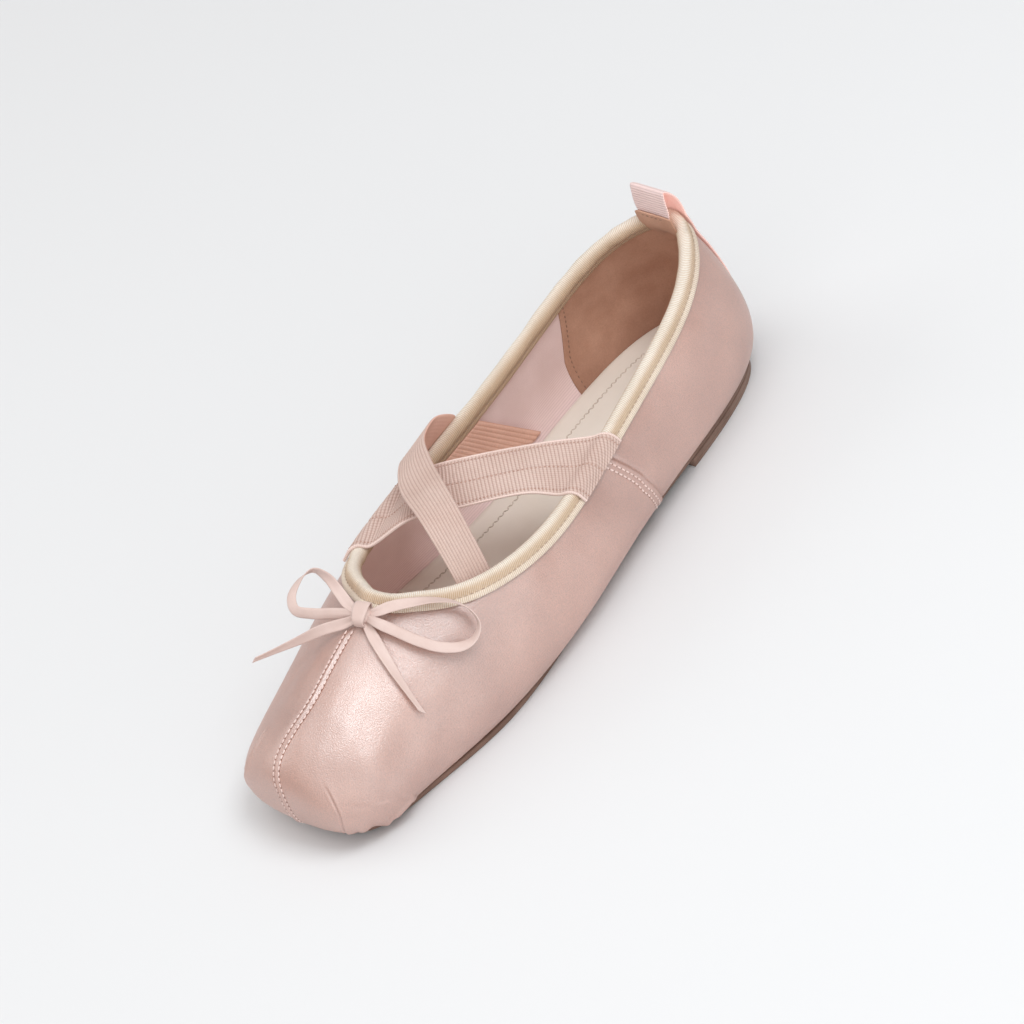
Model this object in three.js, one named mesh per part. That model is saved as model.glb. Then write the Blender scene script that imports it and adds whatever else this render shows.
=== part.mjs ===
import * as THREE from 'three';

// Sizes in millimetres. x runs from the heel to the toe, y to the wearer's left, z up.
const wall = 1.6;
const gap = 0.3;
const heelHeight = 4.0;
const heelBreast = 60;
const heelTaper = 0.7;
const soleThick = 2.2;
const archStart = 64;
const archEnd = 152;
const springStart = 204;
const toeTip = 248;
const toeSpring = 4.0;
const marginRise = 2.3;
const insoleRimRise = 3.5;
const insoleRise = 5.8;
const frameX = -123.45;
const frameY = 0.35;

// The shoe's sections from the heel round to the toe. wide is the widest point of the wall, top the
// topline, shoulder the height where the wall turns in, tuck how far the lasted margin reaches under,
// soleIn how far the sole's edge stays inside the widest line.
const sections = [
  { at: 'heelBack', x: 0, left: 0, right: 0, tuck: 9.5, wideZ: 28, shoulderZ: 48, reach: 0.1, full: 0.8,
    topX: 6, topLeft: 0, topRight: 0, topZ: 62, soleIn: 8 },
  { at: 'heelCorner', x: 8, left: 19.8, right: 19.8, tuck: 9, wideZ: 28, shoulderZ: 46, reach: 0.1, full: 0.8,
    topX: 17, topLeft: 16, topRight: 16.5, topZ: 59.5, soleIn: 6.5 },
  { at: 'heelSide', x: 38, left: 31, right: 31, tuck: 9, wideZ: 26, shoulderZ: 40, reach: 0.1, full: 0.8,
    topX: 41.5, topLeft: 24.5, topRight: 27, topZ: 52.5, soleIn: 6.5 },
  { at: 'waistBack', x: 86, left: 36.5, right: 32.5, tuck: 13, wideZ: 22, shoulderZ: 34, reach: 0.1, full: 0.8,
    topX: 84.5, topLeft: 28.5, topRight: 30.5, topZ: 44.5, soleIn: 8.5 },
  { at: 'waistFront', x: 129, left: 41, right: 36.5, tuck: 12, wideZ: 18, shoulderZ: 31, reach: 0.1, full: 0.8,
    topX: 126.5, topLeft: 33, topRight: 32.5, topZ: 41, soleIn: 9.5 },
  { at: 'ball', x: 174, left: 39.5, right: 42, tuck: 6, wideZ: 14.6, shoulderZ: 30, reach: 0.08, full: 0.9,
    topX: 160, topLeft: 27, topRight: 27, topZ: 44.5, soleIn: 3.4 },
  { at: 'toeSide', x: 211, left: 33, right: 36.5, tuck: 6, wideZ: 14.4, shoulderZ: 28, reach: 0.06, full: 0.95,
    topX: 175, topLeft: 15, topRight: 17, topZ: 49, soleIn: 3.6 },
  { at: 'toeCorner', x: 240, left: 25.5, right: 27, tuck: 7, wideZ: 17.5, shoulderZ: 28, reach: 0.05, full: 1.1,
    topX: 180, topLeft: 8, topRight: 7, topZ: 50.5, soleIn: 5.6 },
  { at: 'toeFront', x: 248, left: 0, right: 0, tuck: 7, wideZ: 23, shoulderZ: 37, reach: 0.03, full: 1.9,
    topX: 182, topLeft: 0, topRight: 0, topZ: 51.7, soleIn: 6 },
];
const sideCount = sections.length - 1;
const ringCount = 2 * sideCount;
const lowFull = 0.8;
const lowShare = 0.3;

// A smooth closed curve through the values of one column, up the left side and back along the right.
function closedSpline(values) {
  const n = values.length;
  const control = values.slice();
  for (let pass = 0; pass < 60; pass += 1) {
    for (let i = 0; i < n; i += 1) {
      control[i] = (6 * values[i] - control[(i + n - 1) % n] - control[(i + 1) % n]) / 4;
    }
  }
  return (s, slope) => {
    const i = Math.floor(s);
    const f = s - i;
    const c = [-1, 0, 1, 2].map((k) => control[(((i + k) % n) + n) % n]);
    if (slope) {
      const g = 1 - f;
      return (-g * g * c[0] + (3 * f * f - 4 * f) * c[1] + (-3 * f * f + 2 * f + 1) * c[2] + f * f * c[3]) / 2;
    }
    const w0 = (1 - f) ** 3;
    const w1 = 3 * f ** 3 - 6 * f * f + 4;
    const w2 = -3 * f ** 3 + 3 * f * f + 3 * f + 1;
    return (w0 * c[0] + w1 * c[1] + w2 * c[2] + f ** 3 * c[3]) / 6;
  };
}

function column(leftName, rightName, sign) {
  const values = [];
  for (let i = 0; i < ringCount; i += 1) {
    const onLeft = i <= sideCount;
    const row = sections[onLeft ? i : ringCount - i];
    values.push(onLeft ? row[leftName] : sign * row[rightName]);
  }
  return closedSpline(values);
}

const same = (name) => column(name, name, 1);
const ring = {
  x: same('x'),
  y: column('left', 'right', -1),
  tuck: same('tuck'),
  wideZ: same('wideZ'),
  shoulderZ: same('shoulderZ'),
  reach: same('reach'),
  full: same('full'),
  topX: same('topX'),
  topY: column('topLeft', 'topRight', -1),
  topZ: same('topZ'),
  soleIn: same('soleIn'),
};

const smooth = (u) => {
  const c = Math.min(1, Math.max(0, u));
  return c * c * (3 - 2 * c);
};

// Underside of the outsole: level on the heel lift, down through the arch, level at the ball, up at the toe.
function soleBottom(x) {
  const arch = heelHeight * (1 - smooth((x - archStart) / (archEnd - archStart)));
  const lift = Math.max(0, (x - springStart) / (toeTip - springStart));
  return arch + toeSpring * lift * lift;
}

function conic(a, k, b, weight, t) {
  const wa = (1 - t) * (1 - t);
  const wk = 2 * weight * t * (1 - t);
  const wb = t * t;
  const p = a.clone().multiplyScalar(wa).addScaledVector(k, wk).addScaledVector(b, wb);
  return p.divideScalar(wa + wk + wb);
}

function outward(s) {
  return new THREE.Vector3(-ring.y(s, true), ring.x(s, true), 0).normalize();
}

function station(s) {
  const out = outward(s);
  const wide = new THREE.Vector3(ring.x(s), ring.y(s), ring.wideZ(s));
  const top = new THREE.Vector3(ring.topX(s), ring.topY(s), ring.topZ(s));
  const feather = wide.clone().addScaledVector(out, -ring.tuck(s));
  feather.z = Math.max(soleBottom(feather.x), soleBottom(wide.x)) + soleThick + gap;
  const shoulder = wide.clone().lerp(top, ring.reach(s));
  shoulder.z = ring.shoulderZ(s);
  const share = (wide.z - feather.z) / (shoulder.z - wide.z);
  const corner = wide.clone().addScaledVector(wide.clone().sub(shoulder), share);
  return { wide, top, feather, shoulder, corner, full: ring.full(s) };
}

// The outside of the upper: s runs round the shoe, t from the lasted margin at 0 to the topline at 1.
function wallPoint(s, t) {
  const k = station(s);
  if (t < lowShare) {
    return conic(k.feather, k.corner, k.wide, lowFull, t / lowShare);
  }
  return conic(k.wide, k.shoulder, k.top, k.full, (t - lowShare) / (1 - lowShare));
}

function wallFrame(s, t) {
  const h = 0.004;
  const low = Math.max(0, t - h);
  const high = Math.min(1, t + h);
  const up = wallPoint(s, high).sub(wallPoint(s, low)).normalize();
  const along = wallPoint(s + h, t).sub(wallPoint(s - h, t)).normalize();
  const normal = up.clone().cross(along).normalize();
  return { up, along, normal };
}

// A point at a distance from the wall: depth is how far out of it, rise how far above the topline.
function besideWall(s, t, depth, rise = 0) {
  const f = wallFrame(s, t);
  return wallPoint(s, t).addScaledVector(f.normal, depth).addScaledVector(f.up, rise);
}

// The wall's share at a given height, found by halving.
function shareAtHeight(s, z, depth) {
  let low = 0;
  let high = 0.6;
  for (let i = 0; i < 30; i += 1) {
    const mid = (low + high) / 2;
    if (besideWall(s, mid, depth).z < z) {
      low = mid;
    } else {
      high = mid;
    }
  }
  return (low + high) / 2;
}

// One closed mesh from points and faces; points that coincide become one and flat faces drop out.
function solid(points, faces) {
  const keys = new Map();
  const index = [];
  const kept = [];
  points.forEach((p, i) => {
    const key = [p.x, p.y, p.z].map((v) => Math.round(v * 500)).join(',');
    if (!keys.has(key)) {
      keys.set(key, kept.length);
      kept.push(p);
    }
    index[i] = keys.get(key);
  });
  const triangles = [];
  faces.forEach((face) => {
    const [a, b, c] = face.map((i) => index[i]);
    if (a !== b && b !== c && c !== a) {
      triangles.push(a, b, c);
    }
  });
  const geometry = new THREE.BufferGeometry();
  geometry.setFromPoints(kept);
  geometry.setIndex(triangles);
  geometry.translate(frameX, frameY, 0);
  geometry.computeVertexNormals();
  return geometry;
}

// Faces of a grid of rows by columns of points, closed round in either direction if asked.
function gridFaces(faces, start, rows, columns, closeRows, closeColumns, flip) {
  const rowEnd = closeRows ? rows : rows - 1;
  const columnEnd = closeColumns ? columns : columns - 1;
  for (let i = 0; i < rowEnd; i += 1) {
    for (let j = 0; j < columnEnd; j += 1) {
      const a = start + i * columns + j;
      const b = start + ((i + 1) % rows) * columns + j;
      const c = start + ((i + 1) % rows) * columns + ((j + 1) % columns);
      const d = start + i * columns + ((j + 1) % columns);
      if (flip) {
        faces.push([a, c, b], [a, d, c]);
      } else {
        faces.push([a, b, c], [a, c, d]);
      }
    }
  }
}

// A tube of one closed profile carried round or along: profile(i) gives the ring of points at step i.
function sweep(profile, steps, closed, flip) {
  const points = [];
  const faces = [];
  const first = profile(0).length;
  for (let i = 0; i < steps; i += 1) {
    points.push(...profile(i));
  }
  gridFaces(faces, 0, steps, first, closed, true, flip);
  if (!closed) {
    const last = (steps - 1) * first;
    for (let j = 1; j < first - 1; j += 1) {
      if (flip) {
        faces.push([0, j, j + 1], [last, last + j + 1, last + j]);
      } else {
        faces.push([0, j + 1, j], [last, last + j, last + j + 1]);
      }
    }
  }
  return solid(points, faces);
}

// A plate between outlines stacked from the bottom up. Each level gives the point at row share u on a side.
function plate(levels, rows, across) {
  const points = [];
  const faces = [];
  const face = (level, flip) => {
    const start = points.length;
    for (let i = 0; i <= rows; i += 1) {
      const left = level(i / rows, 1);
      const right = level(i / rows, -1);
      for (let j = 0; j <= across; j += 1) {
        points.push(left.clone().lerp(right, j / across));
      }
    }
    gridFaces(faces, start, rows + 1, across + 1, false, false, flip);
  };
  const side = (lower, upper, which, flip) => {
    const start = points.length;
    for (let i = 0; i <= rows; i += 1) {
      points.push(lower(i / rows, which), upper(i / rows, which));
    }
    gridFaces(faces, start, rows + 1, 2, false, false, flip);
  };
  const ends = (lower, upper, u, flip) => {
    const start = points.length;
    for (let j = 0; j <= across; j += 1) {
      points.push(lower(u, 1).lerp(lower(u, -1), j / across), upper(u, 1).lerp(upper(u, -1), j / across));
    }
    gridFaces(faces, start, across + 1, 2, false, false, flip);
  };
  face(levels[0], false);
  face(levels[levels.length - 1], true);
  for (let k = 0; k + 1 < levels.length; k += 1) {
    side(levels[k], levels[k + 1], 1, true);
    side(levels[k], levels[k + 1], -1, false);
    ends(levels[k], levels[k + 1], 0, false);
    ends(levels[k], levels[k + 1], 1, true);
  }
  return solid(points, faces);
}

const group = new THREE.Group();
group.name = 'ballet_flat';

function add(name, geometry, color, roughness) {
  const mesh = new THREE.Mesh(geometry, new THREE.MeshStandardMaterial({ color, roughness, metalness: 0 }));
  mesh.name = name;
  group.add(mesh);
}

// Outsole and heel lift.
const ringAt = (s, side) => (side > 0 ? s : ringCount - s);

function soleEdge(s, inset) {
  const p = new THREE.Vector3(ring.x(s), ring.y(s), 0).addScaledVector(outward(s), -ring.soleIn(s) - inset);
  return p;
}

function soleLevel(rise, inset) {
  return (u, side) => {
    const p = soleEdge(ringAt(u * sideCount, side), inset);
    p.z = soleBottom(p.x) + rise;
    return p;
  };
}

function breastShare(side) {
  let low = 0;
  let high = sideCount / 2;
  for (let i = 0; i < 40; i += 1) {
    const mid = (low + high) / 2;
    if (soleEdge(ringAt(mid, side), 0).x < heelBreast) {
      low = mid;
    } else {
      high = mid;
    }
  }
  return low;
}

function heelLevel(z, inset) {
  return (u, side) => {
    const p = soleEdge(ringAt(u * breastShare(side), side), inset);
    p.z = z;
    return p;
  };
}

add('outsole', plate([soleLevel(0, 0.4), soleLevel(0.5, 0), soleLevel(soleThick, 0)], 40, 4), 0x8a6a5c, 0.6);
add('heel_lift', plate([heelLevel(0, heelTaper), heelLevel(heelHeight - gap, 0.2)], 16, 3), 0x6f5248, 0.6);

// Insole: a plug inside the lasted margin, then out over it to the wall.
function insoleLevel(rise, beyondMargin) {
  return (u, side) => {
    const s = ringAt(u * sideCount, side);
    const edge = station(s).feather;
    const p = edge.clone().addScaledVector(outward(s), -0.5);
    p.z = edge.z - gap + rise;
    if (beyondMargin) {
      const depth = -wall - 0.55;
      const q = besideWall(s, shareAtHeight(s, p.z, depth), depth);
      q.z = p.z;
      return q;
    }
    return p;
  };
}

const insoleLevels = [
  insoleLevel(gap, false),
  insoleLevel(marginRise, false),
  insoleLevel(insoleRimRise, true),
  insoleLevel(insoleRise, true),
];
add('insole', plate(insoleLevels, 32, 3), 0xe8dfd2, 0.8);

// Upper: outside from margin to topline, then back down the inside, one closed wall.
const upperSteps = 80;
const upperShares = [0, 0.08, 0.16, 0.23, 0.3, 0.38, 0.46, 0.54, 0.62, 0.71, 0.8, 0.9, 1];

function upperProfile(i) {
  const s = (ringCount * i) / upperSteps;
  const outside = upperShares.map((t) => wallPoint(s, t));
  const inside = upperShares.map((t) => besideWall(s, t, -wall)).reverse();
  return outside.concat(inside);
}

add('upper', sweep(upperProfile, upperSteps, true, true), 0xd9b8ae, 0.45);

// Collar binding: out is the distance outside the wall, up the distance above the topline.
const bindingProfile = [
  { out: 0.45, up: -3.2 },
  { out: 0.45, up: 0.4 },
  { out: -2.05, up: 0.4 },
  { out: -2.05, up: -3.2 },
  { out: -2.8, up: -3.2 },
  { out: -3.1, up: -0.4 },
  { out: -3.4, up: 1.4 },
  { out: -2.6, up: 3.0 },
  { out: -0.8, up: 3.7 },
  { out: 1.0, up: 3.0 },
  { out: 1.8, up: 1.4 },
  { out: 1.5, up: -0.4 },
  { out: 1.2, up: -3.2 },
];

function bindingSection(i) {
  const s = (ringCount * i) / upperSteps;
  return bindingProfile.map((p) => besideWall(s, 1, p.out, p.up));
}

add('collar_binding', sweep(bindingSection, upperSteps, true, false), 0xefe3cf, 0.8);

// A band of a given thickness about a surface: pointAt(u, w), u along it, w across it from 0 to 1.
function band(pointAt, thick, steps, across) {
  const points = [];
  const faces = [];
  const h = 0.002;
  const faceNormal = (u, w) => {
    const along = pointAt(Math.min(1, u + h), w).sub(pointAt(Math.max(0, u - h), w));
    const over = pointAt(u, Math.min(1, w + h)).sub(pointAt(u, Math.max(0, w - h)));
    return along.cross(over).normalize();
  };
  for (let i = 0; i <= steps; i += 1) {
    const front = [];
    const back = [];
    for (let j = 0; j <= across; j += 1) {
      const p = pointAt(i / steps, j / across);
      const n = faceNormal(i / steps, j / across);
      front.push(p.clone().addScaledVector(n, thick / 2));
      back.push(p.clone().addScaledVector(n, -thick / 2));
    }
    points.push(...front, ...back.reverse());
  }
  const round = 2 * (across + 1);
  gridFaces(faces, 0, steps + 1, round, false, true, false);
  [0, steps].forEach((row) => {
    const start = row * round;
    for (let j = 0; j < across; j += 1) {
      const quad = [start + j, start + j + 1, start + round - 2 - j, start + round - 1 - j];
      const [a, b, c, d] = row === 0 ? quad : quad.reverse();
      faces.push([a, b, c], [a, c, d]);
    }
  });
  return solid(points, faces);
}

const through = (points) => new THREE.CatmullRomCurve3(points, false, 'centripetal');
const place = (row) => new THREE.Vector3(row.x, row.y, row.z);

// A band through a list of rows, each giving its point at a share w of the width.
const spanning = (rows) => (u, w) => through(rows.map((row) => row(w))).getPoint(u);
const freeRow = (row) => (w) => place(row.back).lerp(place(row.front), w);
const ringRow = (ends, make) => (w) => make(THREE.MathUtils.lerp(ends.back, ends.front, w));

// The way of an elastic over the bead, from the outside of the wall in. lead is the share of its slant there.
const overBead = [
  { up: -1.5, out: 2.4, lead: 0 },
  { up: 1.4, out: 2.7, lead: 0.35 },
  { up: 3.9, out: 1.4, lead: 0.75 },
  { up: 4.6, out: -1.3, lead: 1 },
];

function beadWay(ends, slant) {
  return overBead.map((p) => ringRow(ends, (s) => besideWall(s + p.lead * slant, 1, p.out, p.up)));
}

// The way of an elastic up the inside of the wall and past the bead.
const insideRows = [
  { share: 0.8, out: -2.7, up: 0 },
  { share: 0.9, out: -3.5, up: 0 },
  { share: 1, out: -4.6, up: 0.5 },
  { share: 1, out: -4.8, up: 3.2 },
];
const insideWay = (ends) => insideRows.map((p) => ringRow(ends, (s) => besideWall(s, p.share, p.out, p.up)));

// Lower elastic: its back and front edges where they cross the opening, and its ends on the ring.
const underEdges = [
  { back: { x: 101, y: 14.5, z: 51 }, front: { x: 120, y: 18, z: 46 } },
  { back: { x: 116, y: 1, z: 56 }, front: { x: 137, y: 2.3, z: 50.5 } },
  { back: { x: 127.5, y: -15, z: 55.5 }, front: { x: 149, y: -10, z: 52 } },
];
const underNear = { back: 3.03, front: 3.63 };
const underFar = { back: 11.86, front: 10.68 };
const underSlant = 0.1;
const elasticThick = 0.9;
const underNearRows = beadWay(underNear, underSlant);
const underFarRows = beadWay(underFar, underSlant).reverse();
const underRows = underNearRows.concat(underEdges.map(freeRow), underFarRows);
add('strap_under', band(spanning(underRows), elasticThick, 30, 4), 0xe6c3b5, 0.85);

// Upper elastic: from inside the near front, over the other, to the outside of the far wall.
const overEdges = [
  { back: { x: 142.5, y: 12, z: 60 }, front: { x: 153.5, y: 4.5, z: 60 } },
  { back: { x: 127.5, y: -14, z: 61 }, front: { x: 145, y: -13, z: 59.5 } },
  { back: { x: 120, y: -23.5, z: 59.5 }, front: { x: 140.5, y: -19, z: 58.5 } },
  { back: { x: 109, y: -29.5, z: 55.5 }, front: { x: 131, y: -28, z: 55 } },
];
const overNear = { back: 4.72, front: 5.22 };
const overFar = { back: 12.62, front: 12.1 };
const overFarRows = beadWay(overFar, 0).reverse().slice(1);
const overRows = insideWay(overNear).concat(overEdges.map(freeRow), overFarRows);
add('strap_over', band(spanning(overRows), elasticThick, 30, 3), 0xe9c0b0, 0.85);

// The elastic's sewn end inside the far wall, taut from below the bead down and back to the insole.
const tailTop = { back: 12.78, front: 12.32, share: 0.86 };
const tailFoot = { back: 13.22, front: 12.76, share: 0.18 };
const tailDepth = -wall - gap - 0.5;

function tailPoint(u, w) {
  const ends = [tailTop, tailFoot].map((row) => {
    const s = THREE.MathUtils.lerp(row.back, row.front, w);
    return besideWall(s, row.share, tailDepth);
  });
  return ends[0].lerp(ends[1], u);
}

add('strap_tail', band(tailPoint, 1, 10, 4), 0xe2ad97, 0.85);

// Pull tab: a ribbon loop over the bead at the heel, its outer end carried down the heel as a tape.
// flat is how far a row is straight across the heel and not bent round it.
const tabHalf = 0.34;
const tabHalfWidth = 7.6;
const tabWay = [
  { share: 0.82, out: -2.8, up: 0, flat: 0 },
  { share: 0.91, out: -3.6, up: 0, flat: 0 },
  { share: 1, out: -4.7, up: 1.2, flat: 0 },
  { share: 1, out: -4.6, up: 5.5, flat: 0.5 },
  { share: 1, out: -2.6, up: 11, flat: 1 },
  { share: 1, out: 0.6, up: 16.6, flat: 1 },
  { share: 1, out: 2.2, up: 18.4, flat: 1 },
  { share: 1, out: 3.2, up: 16.4, flat: 1 },
  { share: 1, out: 3.8, up: 11, flat: 1 },
  { share: 1, out: 3.6, up: 5.5, flat: 0.6 },
  { share: 1, out: 2.9, up: 1.4, flat: 0.2 },
  { share: 0.93, out: 2.3, up: 0, flat: 0 },
  { share: 0.82, out: 1.2, up: 0, flat: 0 },
  { share: 0.65, out: 1.1, up: 0, flat: 0 },
  { share: 0.48, out: 1.1, up: 0, flat: 0 },
  { share: 0.32, out: 1.1, up: 0, flat: 0 },
  { share: 0.18, out: 1.1, up: 0, flat: 0 },
];

function tabRow(row, w) {
  const side = 2 * w - 1;
  const round = besideWall(ringCount + tabHalf * side, row.share, row.out, row.up);
  const straight = besideWall(ringCount, row.share, row.out, row.up);
  straight.y += tabHalfWidth * side;
  return round.lerp(straight, row.flat);
}

const tabPoint = (u, w) => through(tabWay.map((row) => tabRow(row, w))).getPoint(u);

add('pull_tab', band(tabPoint, 0.9, 34, 3), 0xe9c9c2, 0.7);

// Ribbon bow: each row is a point on the ribbon's middle, and the degrees its face leans there.
const ribbonWidth = 3.8;
const ribbonThick = 0.8;
const loopRight = [
  { x: 186.5, y: 7.9, z: 53.6, lean: -10 }, { x: 182.8, y: 11.8, z: 53.9, lean: -15 },
  { x: 178.3, y: 17.0, z: 53.2, lean: -35 }, { x: 173.6, y: 22.4, z: 51.5, lean: -62 },
  { x: 169.8, y: 27.9, z: 48.6, lean: -82 }, { x: 168.6, y: 32.0, z: 45.1, lean: -92 },
  { x: 170.0, y: 35.0, z: 40.9, lean: -104 }, { x: 174.5, y: 35.2, z: 38.4, lean: -125 },
  { x: 179.0, y: 33.3, z: 38.7, lean: -150 }, { x: 183.3, y: 28.9, z: 41.2, lean: -160 },
  { x: 186.3, y: 23.1, z: 45.1, lean: -165 }, { x: 188.0, y: 16.2, z: 48.9, lean: -170 },
  { x: 189.4, y: 9.2, z: 52.3, lean: -170 },
];
const loopLeft = [
  { x: 187.6, y: -4.2, z: 53.6, lean: 0 }, { x: 185.5, y: -9.6, z: 55.2, lean: -10 },
  { x: 183.2, y: -16.1, z: 57.5, lean: -35 }, { x: 183.5, y: -21.7, z: 59.0, lean: -65 },
  { x: 187.9, y: -25.4, z: 57.3, lean: -110 }, { x: 193.5, y: -25.5, z: 55.0, lean: -140 },
  { x: 196.6, y: -22.0, z: 53.1, lean: -155 }, { x: 195.2, y: -14.8, z: 52.7, lean: -165 },
  { x: 192.2, y: -7.8, z: 52.4, lean: -170 }, { x: 190.2, y: -3.2, z: 51.9, lean: -170 },
];
const tailRight = [
  { x: 191.4, y: 6.8, z: 50.5, lean: 0 }, { x: 194.3, y: 12.1, z: 47.1, lean: -12 },
  { x: 198.5, y: 20.8, z: 40.3, lean: -25 }, { x: 200.9, y: 26.7, z: 34.3, lean: -38 },
  { x: 202.3, y: 30.7, z: 29.8, lean: -45 },
];
const tailLeft = [
  { x: 193.1, y: -1.7, z: 51.3, lean: 0 }, { x: 198.5, y: -8.5, z: 50.7, lean: -10 },
  { x: 203.9, y: -15.4, z: 48.6, lean: -20 }, { x: 210.1, y: -22.4, z: 47.0, lean: -35 },
  { x: 216.3, y: -27.7, z: 46.7, lean: -50 },
];

// The way the ribbon's face looks where it doesn't lean: up, out and forward.
const bowFacing = { x: 0.38, y: 0.65, z: 0.66 };

function ribbon(rows) {
  const curve = through(rows.map(place));
  const facing = place(bowFacing).normalize();
  return (u, w) => {
    const along = curve.getTangent(u);
    const wide = facing.clone().cross(along).normalize();
    const spot = u * (rows.length - 1);
    const i = Math.min(Math.floor(spot), rows.length - 2);
    const lean = THREE.MathUtils.lerp(rows[i].lean, rows[i + 1].lean, spot - i);
    wide.applyAxisAngle(along, THREE.MathUtils.degToRad(lean));
    return curve.getPoint(u).addScaledVector(wide, (w - 0.5) * ribbonWidth);
  };
}

const knotAt = 7.72;
const knotSize = { x: 3.9, y: 4.4, z: 2.7 };
const knotGeometry = new THREE.SphereGeometry(1, 16, 10);
knotGeometry.deleteAttribute('uv');
knotGeometry.deleteAttribute('normal');
const knotPoints = [];
const knotPosition = knotGeometry.getAttribute('position');
const knotPlace = besideWall(knotAt, 0.978, knotSize.z + 0.9);
for (let i = 0; i < knotPosition.count; i += 1) {
  const p = new THREE.Vector3().fromBufferAttribute(knotPosition, i);
  knotPoints.push(p.multiply(place(knotSize)).add(knotPlace));
}
const knotFaces = [];
const knotIndex = knotGeometry.getIndex();
for (let i = 0; i < knotIndex.count; i += 3) {
  knotFaces.push([knotIndex.getX(i), knotIndex.getX(i + 1), knotIndex.getX(i + 2)]);
}
add('bow_knot', solid(knotPoints, knotFaces), 0xe8c8c0, 0.6);

add('bow_loop_right', band(ribbon(loopRight), ribbonThick, 30, 1), 0xe8c8c0, 0.6);
add('bow_loop_left', band(ribbon(loopLeft), ribbonThick, 26, 1), 0xe8c8c0, 0.6);
add('bow_tail_right', band(ribbon(tailRight), ribbonThick, 14, 1), 0xe8c8c0, 0.6);
add('bow_tail_left', band(ribbon(tailLeft), ribbonThick, 14, 1), 0xe8c8c0, 0.6);

group.updateMatrixWorld(true);

export default group;
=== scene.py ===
import math
import bmesh
import bpy
import numpy as np
from mathutils import Matrix


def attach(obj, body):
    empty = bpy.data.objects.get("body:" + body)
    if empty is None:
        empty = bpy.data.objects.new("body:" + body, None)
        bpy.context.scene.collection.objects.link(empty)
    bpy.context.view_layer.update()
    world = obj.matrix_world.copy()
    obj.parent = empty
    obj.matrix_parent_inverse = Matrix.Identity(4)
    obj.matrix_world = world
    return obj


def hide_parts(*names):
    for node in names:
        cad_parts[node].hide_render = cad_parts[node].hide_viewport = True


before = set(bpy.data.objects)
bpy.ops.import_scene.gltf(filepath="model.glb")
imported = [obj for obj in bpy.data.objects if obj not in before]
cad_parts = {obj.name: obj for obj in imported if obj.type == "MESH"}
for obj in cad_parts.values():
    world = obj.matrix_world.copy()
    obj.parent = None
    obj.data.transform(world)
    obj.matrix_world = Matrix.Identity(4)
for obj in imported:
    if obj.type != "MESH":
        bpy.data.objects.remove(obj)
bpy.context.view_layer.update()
print("frame loaded:", len(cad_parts), "nodes")

# The shoe's own sizes in millimetres: x from the heel to the toe, y to the wearer's left, z up.
shoe = {
    "wall": 1.6, "gap": 0.3, "heelHeight": 4.0, "heelBreast": 60.0, "heelTaper": 0.7, "soleThick": 2.2,
    "archStart": 64.0, "archEnd": 152.0, "springStart": 204.0, "toeTip": 248.0, "toeSpring": 4.0,
    "insoleRim": 3.5, "insoleRise": 5.8, "wideShare": 0.3, "lowerFull": 0.8,
    "frameShift": (-123.45, 0.35, 0.0),
}
# Sections from the middle of the heel, along one side, to the middle of the toe.
last = {
    "x": [0, 8, 38, 86, 129, 174, 211, 240, 248],
    "left": [0, 19.8, 31, 36.5, 41, 39.5, 33, 25.5, 0],
    "right": [0, 19.8, 31, 32.5, 36.5, 42, 36.5, 27, 0],
    "tuck": [9.5, 9, 9, 13, 12, 6, 6, 7, 7],
    "wideZ": [28, 28, 26, 22, 18, 14.6, 14.4, 17.5, 23],
    "shoulderZ": [48, 46, 40, 34, 31, 30, 28, 28, 37],
    "reach": [0.1, 0.1, 0.1, 0.1, 0.1, 0.08, 0.06, 0.05, 0.03],
    "full": [0.8, 0.8, 0.8, 0.8, 0.8, 0.9, 0.95, 1.1, 1.9],
    "topX": [6, 17, 41.5, 84.5, 126.5, 160, 175, 180, 182],
    "topLeft": [0, 16, 24.5, 28.5, 33, 27, 15, 8, 0],
    "topRight": [0, 16.5, 27, 30.5, 32.5, 27, 17, 7, 0],
    "topZ": [62, 59.5, 52.5, 44.5, 41, 44.5, 49, 50.5, 51.7],
    "soleIn": [8, 6.5, 6.5, 8.5, 9.5, 3.4, 3.6, 5.6, 6],
}
sideCount = len(last["x"]) - 1
ringCount = 2 * sideCount


# A smooth closed curve through one column: a uniform cubic B-spline whose control values are solved for.
def closedSpline(values):
    n = len(values)
    one = np.eye(n)
    weights = (4 * one + np.roll(one, 1, 0) + np.roll(one, -1, 0)) / 6
    control = np.linalg.solve(weights, np.array(values, float))

    def at(s, slope=False):
        i = np.floor(s).astype(int)
        f = s - i
        g = 1 - f
        c = [control[(i + k) % n] for k in (-1, 0, 1, 2)]
        if slope:
            w1 = 3 * f * f - 4 * f
            w2 = 1 + 2 * f - 3 * f * f
            return (-g * g * c[0] + w1 * c[1] + w2 * c[2] + f * f * c[3]) / 2
        w1 = 3 * f ** 3 - 6 * f * f + 4
        w2 = 1 + 3 * f + 3 * f * f - 3 * f ** 3
        return (g ** 3 * c[0] + w1 * c[1] + w2 * c[2] + f ** 3 * c[3]) / 6
    return at


# One column of the last carried round both sides of the shoe; sign -1 mirrors the other side.
def lastColumn(left, right=None, sign=1):
    other = last[right or left]
    return closedSpline(list(last[left]) + [sign * v for v in other[sideCount - 1:0:-1]])


# Columns that are alike on both sides, and the two that aren't.
evenColumns = ("x", "tuck", "wideZ", "shoulderZ", "reach", "full", "topX", "topZ", "soleIn")
ring = {name: lastColumn(name) for name in evenColumns}
ring["y"] = lastColumn("left", "right", -1)
ring["topY"] = lastColumn("topLeft", "topRight", -1)


# 3u^2 - 2u^3 between 0 and 1, level outside.
def smooth(u):
    c = np.clip(u, 0, 1)
    return c * c * (3 - 2 * c)


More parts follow.
